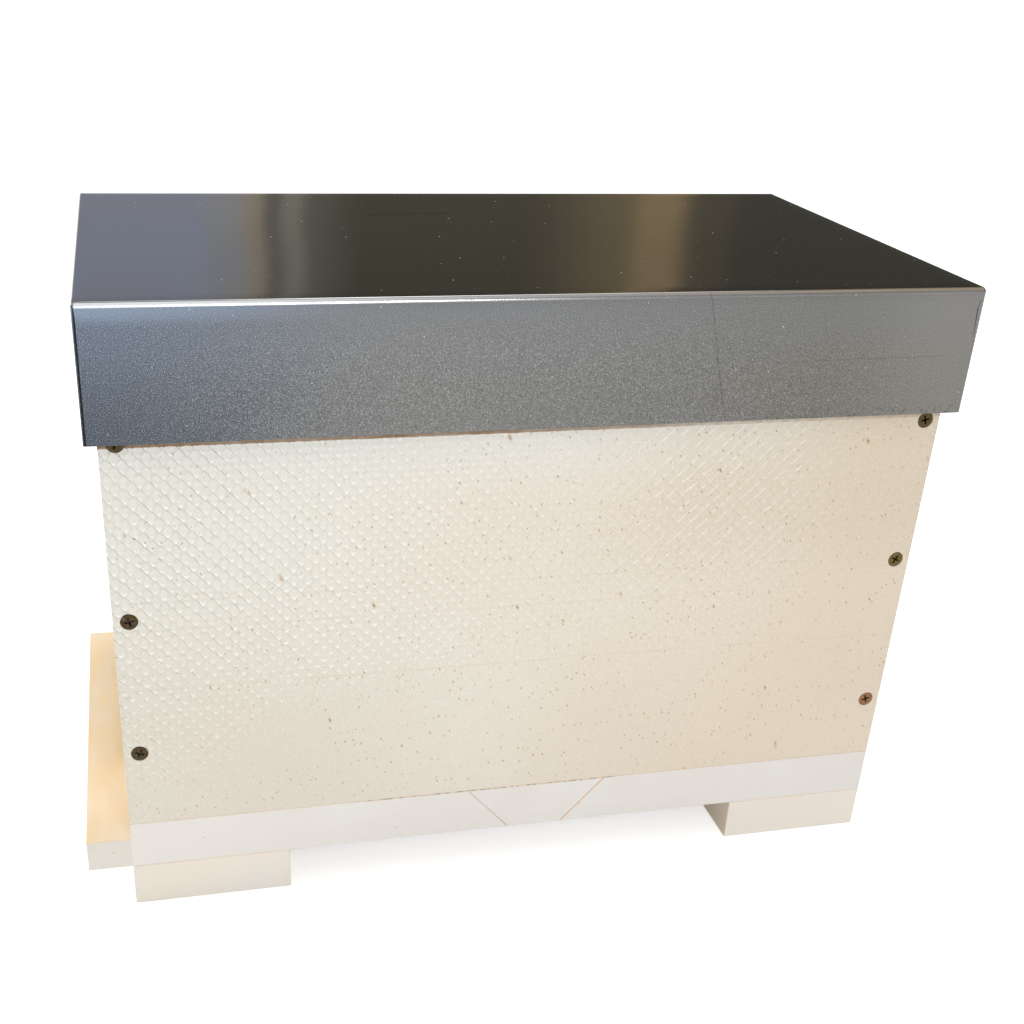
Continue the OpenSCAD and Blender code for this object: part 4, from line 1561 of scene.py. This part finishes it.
def photo_camera(scene):
    """The camera that sees the box as the photograph does."""
    lens = bpy.data.cameras.new("Photo camera")
    lens.sensor_width = CAMERA_SENSOR
    lens.lens = CAMERA_LENS
    lens.shift_x, lens.shift_y = CAMERA_SHIFT
    lens.clip_end = CAMERA_REACH
    camera = bpy.data.objects.new("Photo camera", lens)
    camera.location = CAMERA_PLACE
    camera.rotation_euler = [math.radians(turn) for turn in CAMERA_TURN]
    scene.collection.objects.link(camera)
    scene.camera = camera


# Operators


class NUCBOX_OT_stage(bpy.types.Operator):
    """Build the floor, the studio light and the camera"""

    bl_idname = "nucbox.stage"
    bl_label = "Stage"

    def execute(self, context):
        scene = context.scene
        studio_floor(scene.nuc_box_colours.ground)
        scene.world = studio_world()
        for lamp in LAMPS:
            softbox(scene, *lamp)
        photo_camera(scene)
        scene.view_settings.view_transform = "Standard"
        return {"FINISHED"}


class NUCBOX_OT_roof_sheet(bpy.types.Operator):
    """Fold the roof sheet, with a tab beside each upright corner"""

    bl_idname = "nucbox.roof_sheet"
    bl_label = "Roof sheet"

    def execute(self, context):
        mesh = RoofShape(context.scene.nuc_box_sizes).build()
        soften(mesh, ROOF_CREASE)
        piece = object_of(mesh, "folded_roof_sheet")
        hand_over(piece, "roof_sheet", roof_metal(context.scene.nuc_box_colours))
        return {"FINISHED"}


class NUCBOX_OT_lids(bpy.types.Operator):
    """Make the roof's foam pad and the inner cover"""

    bl_idname = "nucbox.lids"
    bl_label = "Roof pad and inner cover"

    def execute(self, context):
        sizes = context.scene.nuc_box_sizes
        colours = context.scene.nuc_box_colours
        eased_board("roof_insulation", "roof_pad", sizes.board_edge, bead_foam(colours))
        eased_board("inner_cover", "inner_cover_board", sizes.thin_edge, plywood(colours))
        return {"FINISHED"}


class NUCBOX_OT_walls(bpy.types.Operator):
    """Emboss the four wall boards"""

    bl_idname = "nucbox.walls"
    bl_label = "Walls"

    def execute(self, context):
        sizes = context.scene.nuc_box_sizes
        material = foam_skin(context.scene.nuc_box_colours)
        for node, outward in (
            ("left_side_wall", Vector((0, -1, 0))),
            ("right_side_wall", Vector((0, 1, 0))),
            ("front_wall", Vector((-1, 0, 0))),
            ("rear_wall", Vector((1, 0, 0))),
        ):
            embossed_wall(node, f"{node}_board", outward, sizes, material)
        return {"FINISHED"}


class NUCBOX_OT_floor(bpy.types.Operator):
    """Make the two floor boards and the key between them"""

    bl_idname = "nucbox.floor"
    bl_label = "Floor"

    def execute(self, context):
        edge = context.scene.nuc_box_sizes.joint_edge
        colours = context.scene.nuc_box_colours
        material = cut_foam("Floor foam", colours.board, colours.board_cool, floor_stains, colours)
        eased_board("front_floor_board", "front_floor_slab", edge, material)
        eased_board("floor_key", "floor_key_bar", edge, material)
        eased_board("rear_floor_board", "rear_floor_slab", edge, material)
        return {"FINISHED"}


class NUCBOX_OT_feet(bpy.types.Operator):
    """Make the two feet"""

    bl_idname = "nucbox.feet"
    bl_label = "Feet"

    def execute(self, context):
        edge = context.scene.nuc_box_sizes.board_edge
        colours = context.scene.nuc_box_colours
        material = cut_foam("Foot foam", colours.batten, colours.board, foot_stains, colours)
        eased_board("front_foot", "front_foot_batten", edge, material)
        eased_board("rear_foot", "rear_foot_batten", edge, material)
        return {"FINISHED"}


class NUCBOX_OT_screws(bpy.types.Operator):
    """Place the countersunk screws of the walls, the floor and the feet"""

    bl_idname = "nucbox.screws"
    bl_label = "Screws"

    def execute(self, context):
        sizes = context.scene.nuc_box_sizes
        material = screw_metal(context.scene.nuc_box_colours)
        rows = (
            ("left_wall_screws", Vector((0, -1, 0)), sizes.head_sink, 4),
            ("right_wall_screws", Vector((0, 1, 0)), sizes.head_sink, 9),
            ("floor_screws", Vector((0, 0, -1)), sizes.head_sink, 14),
            ("front_foot_screws", Vector((0, 0, -1)), 0.0, 21),
            ("rear_foot_screws", Vector((0, 0, -1)), 0.0, 30),
        )
        for node, direction, sink, seed in rows:
            low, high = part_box(node)
            long = min(abs((high - low).dot(direction)), SCREW_LONG)
            outline = countersunk_outline(sizes, long - sink)
            template = fixing_template(outline, SCREW_STEPS, direction, SCREW_RECESS)
            fixings(node, f"{node}_set", template, direction, sink, seed, material)
            drop(template)
        return {"FINISHED"}


class NUCBOX_OT_small_fixings(bpy.types.Operator):
    """Place the nails of the frame rests and the screws of the shutter's rail"""

    bl_idname = "nucbox.small_fixings"
    bl_label = "Nails and rail screws"

    def execute(self, context):
        material = nail_metal(context.scene.nuc_box_colours)
        rows = (
            ("front_rest_nails", Vector((1, 0, 0)), NAIL, None, 2),
            ("rear_rest_nails", Vector((-1, 0, 0)), NAIL, None, 6),
            ("shutter_rail_screws", Vector((-1, 0, 0)), RAIL_SCREW, RAIL_RECESS, 11),
        )
        for node, direction, shape, recess, seed in rows:
            template = fixing_template(domed_outline(*shape), NAIL_STEPS, direction, recess)
            fixings(node, f"{node}_set", template, direction, 0.0, seed, material)
            drop(template)
        return {"FINISHED"}


class NUCBOX_OT_strips(bpy.types.Operator):
    """Finish the frame rests and the entrance shutter with its rail and knob"""

    bl_idname = "nucbox.strips"
    bl_label = "Frame rests and shutter"

    def execute(self, context):
        colours = context.scene.nuc_box_colours
        zinc = galvanised(colours)
        for node in ("front_frame_rest", "rear_frame_rest", "entrance_shutter", "shutter_rail"):
            dress(node, zinc)
        dress("shutter_knob", knob_plastic(colours))
        return {"FINISHED"}


class NUCBOX_PT_panel(bpy.types.Panel):
    """Lists the steps that dress the box"""

    bl_idname = "NUCBOX_PT_panel"
    bl_label = "Nuc Box"
    bl_space_type = "VIEW_3D"
    bl_region_type = "UI"
    bl_category = "Nuc Box"

    def draw(self, context):
        for step in STEPS:
            self.layout.operator(step.bl_idname)


STEPS = (
    NUCBOX_OT_stage,
    NUCBOX_OT_roof_sheet,
    NUCBOX_OT_lids,
    NUCBOX_OT_walls,
    NUCBOX_OT_floor,
    NUCBOX_OT_feet,
    NUCBOX_OT_screws,
    NUCBOX_OT_small_fixings,
    NUCBOX_OT_strips,
)
CLASSES = (NucBoxSizes, NucBoxColours, *STEPS, NUCBOX_PT_panel)


def register():
    """Makes the classes known, with their settings on the scene."""
    for each in CLASSES:
        bpy.utils.register_class(each)
    bpy.types.Scene.nuc_box_sizes = bpy.props.PointerProperty(type=NucBoxSizes)
    bpy.types.Scene.nuc_box_colours = bpy.props.PointerProperty(type=NucBoxColours)


def unregister():
    """Takes the settings and the classes away again."""
    del bpy.types.Scene.nuc_box_colours
    del bpy.types.Scene.nuc_box_sizes
    for each in reversed(CLASSES):
        bpy.utils.unregister_class(each)


def main():
    register()
    bpy.ops.nucbox.stage()
    bpy.ops.nucbox.roof_sheet()
    bpy.ops.nucbox.lids()
    bpy.ops.nucbox.walls()
    bpy.ops.nucbox.floor()
    bpy.ops.nucbox.feet()
    bpy.ops.nucbox.screws()
    bpy.ops.nucbox.small_fixings()
    bpy.ops.nucbox.strips()


if __name__ == "__main__":
    main()
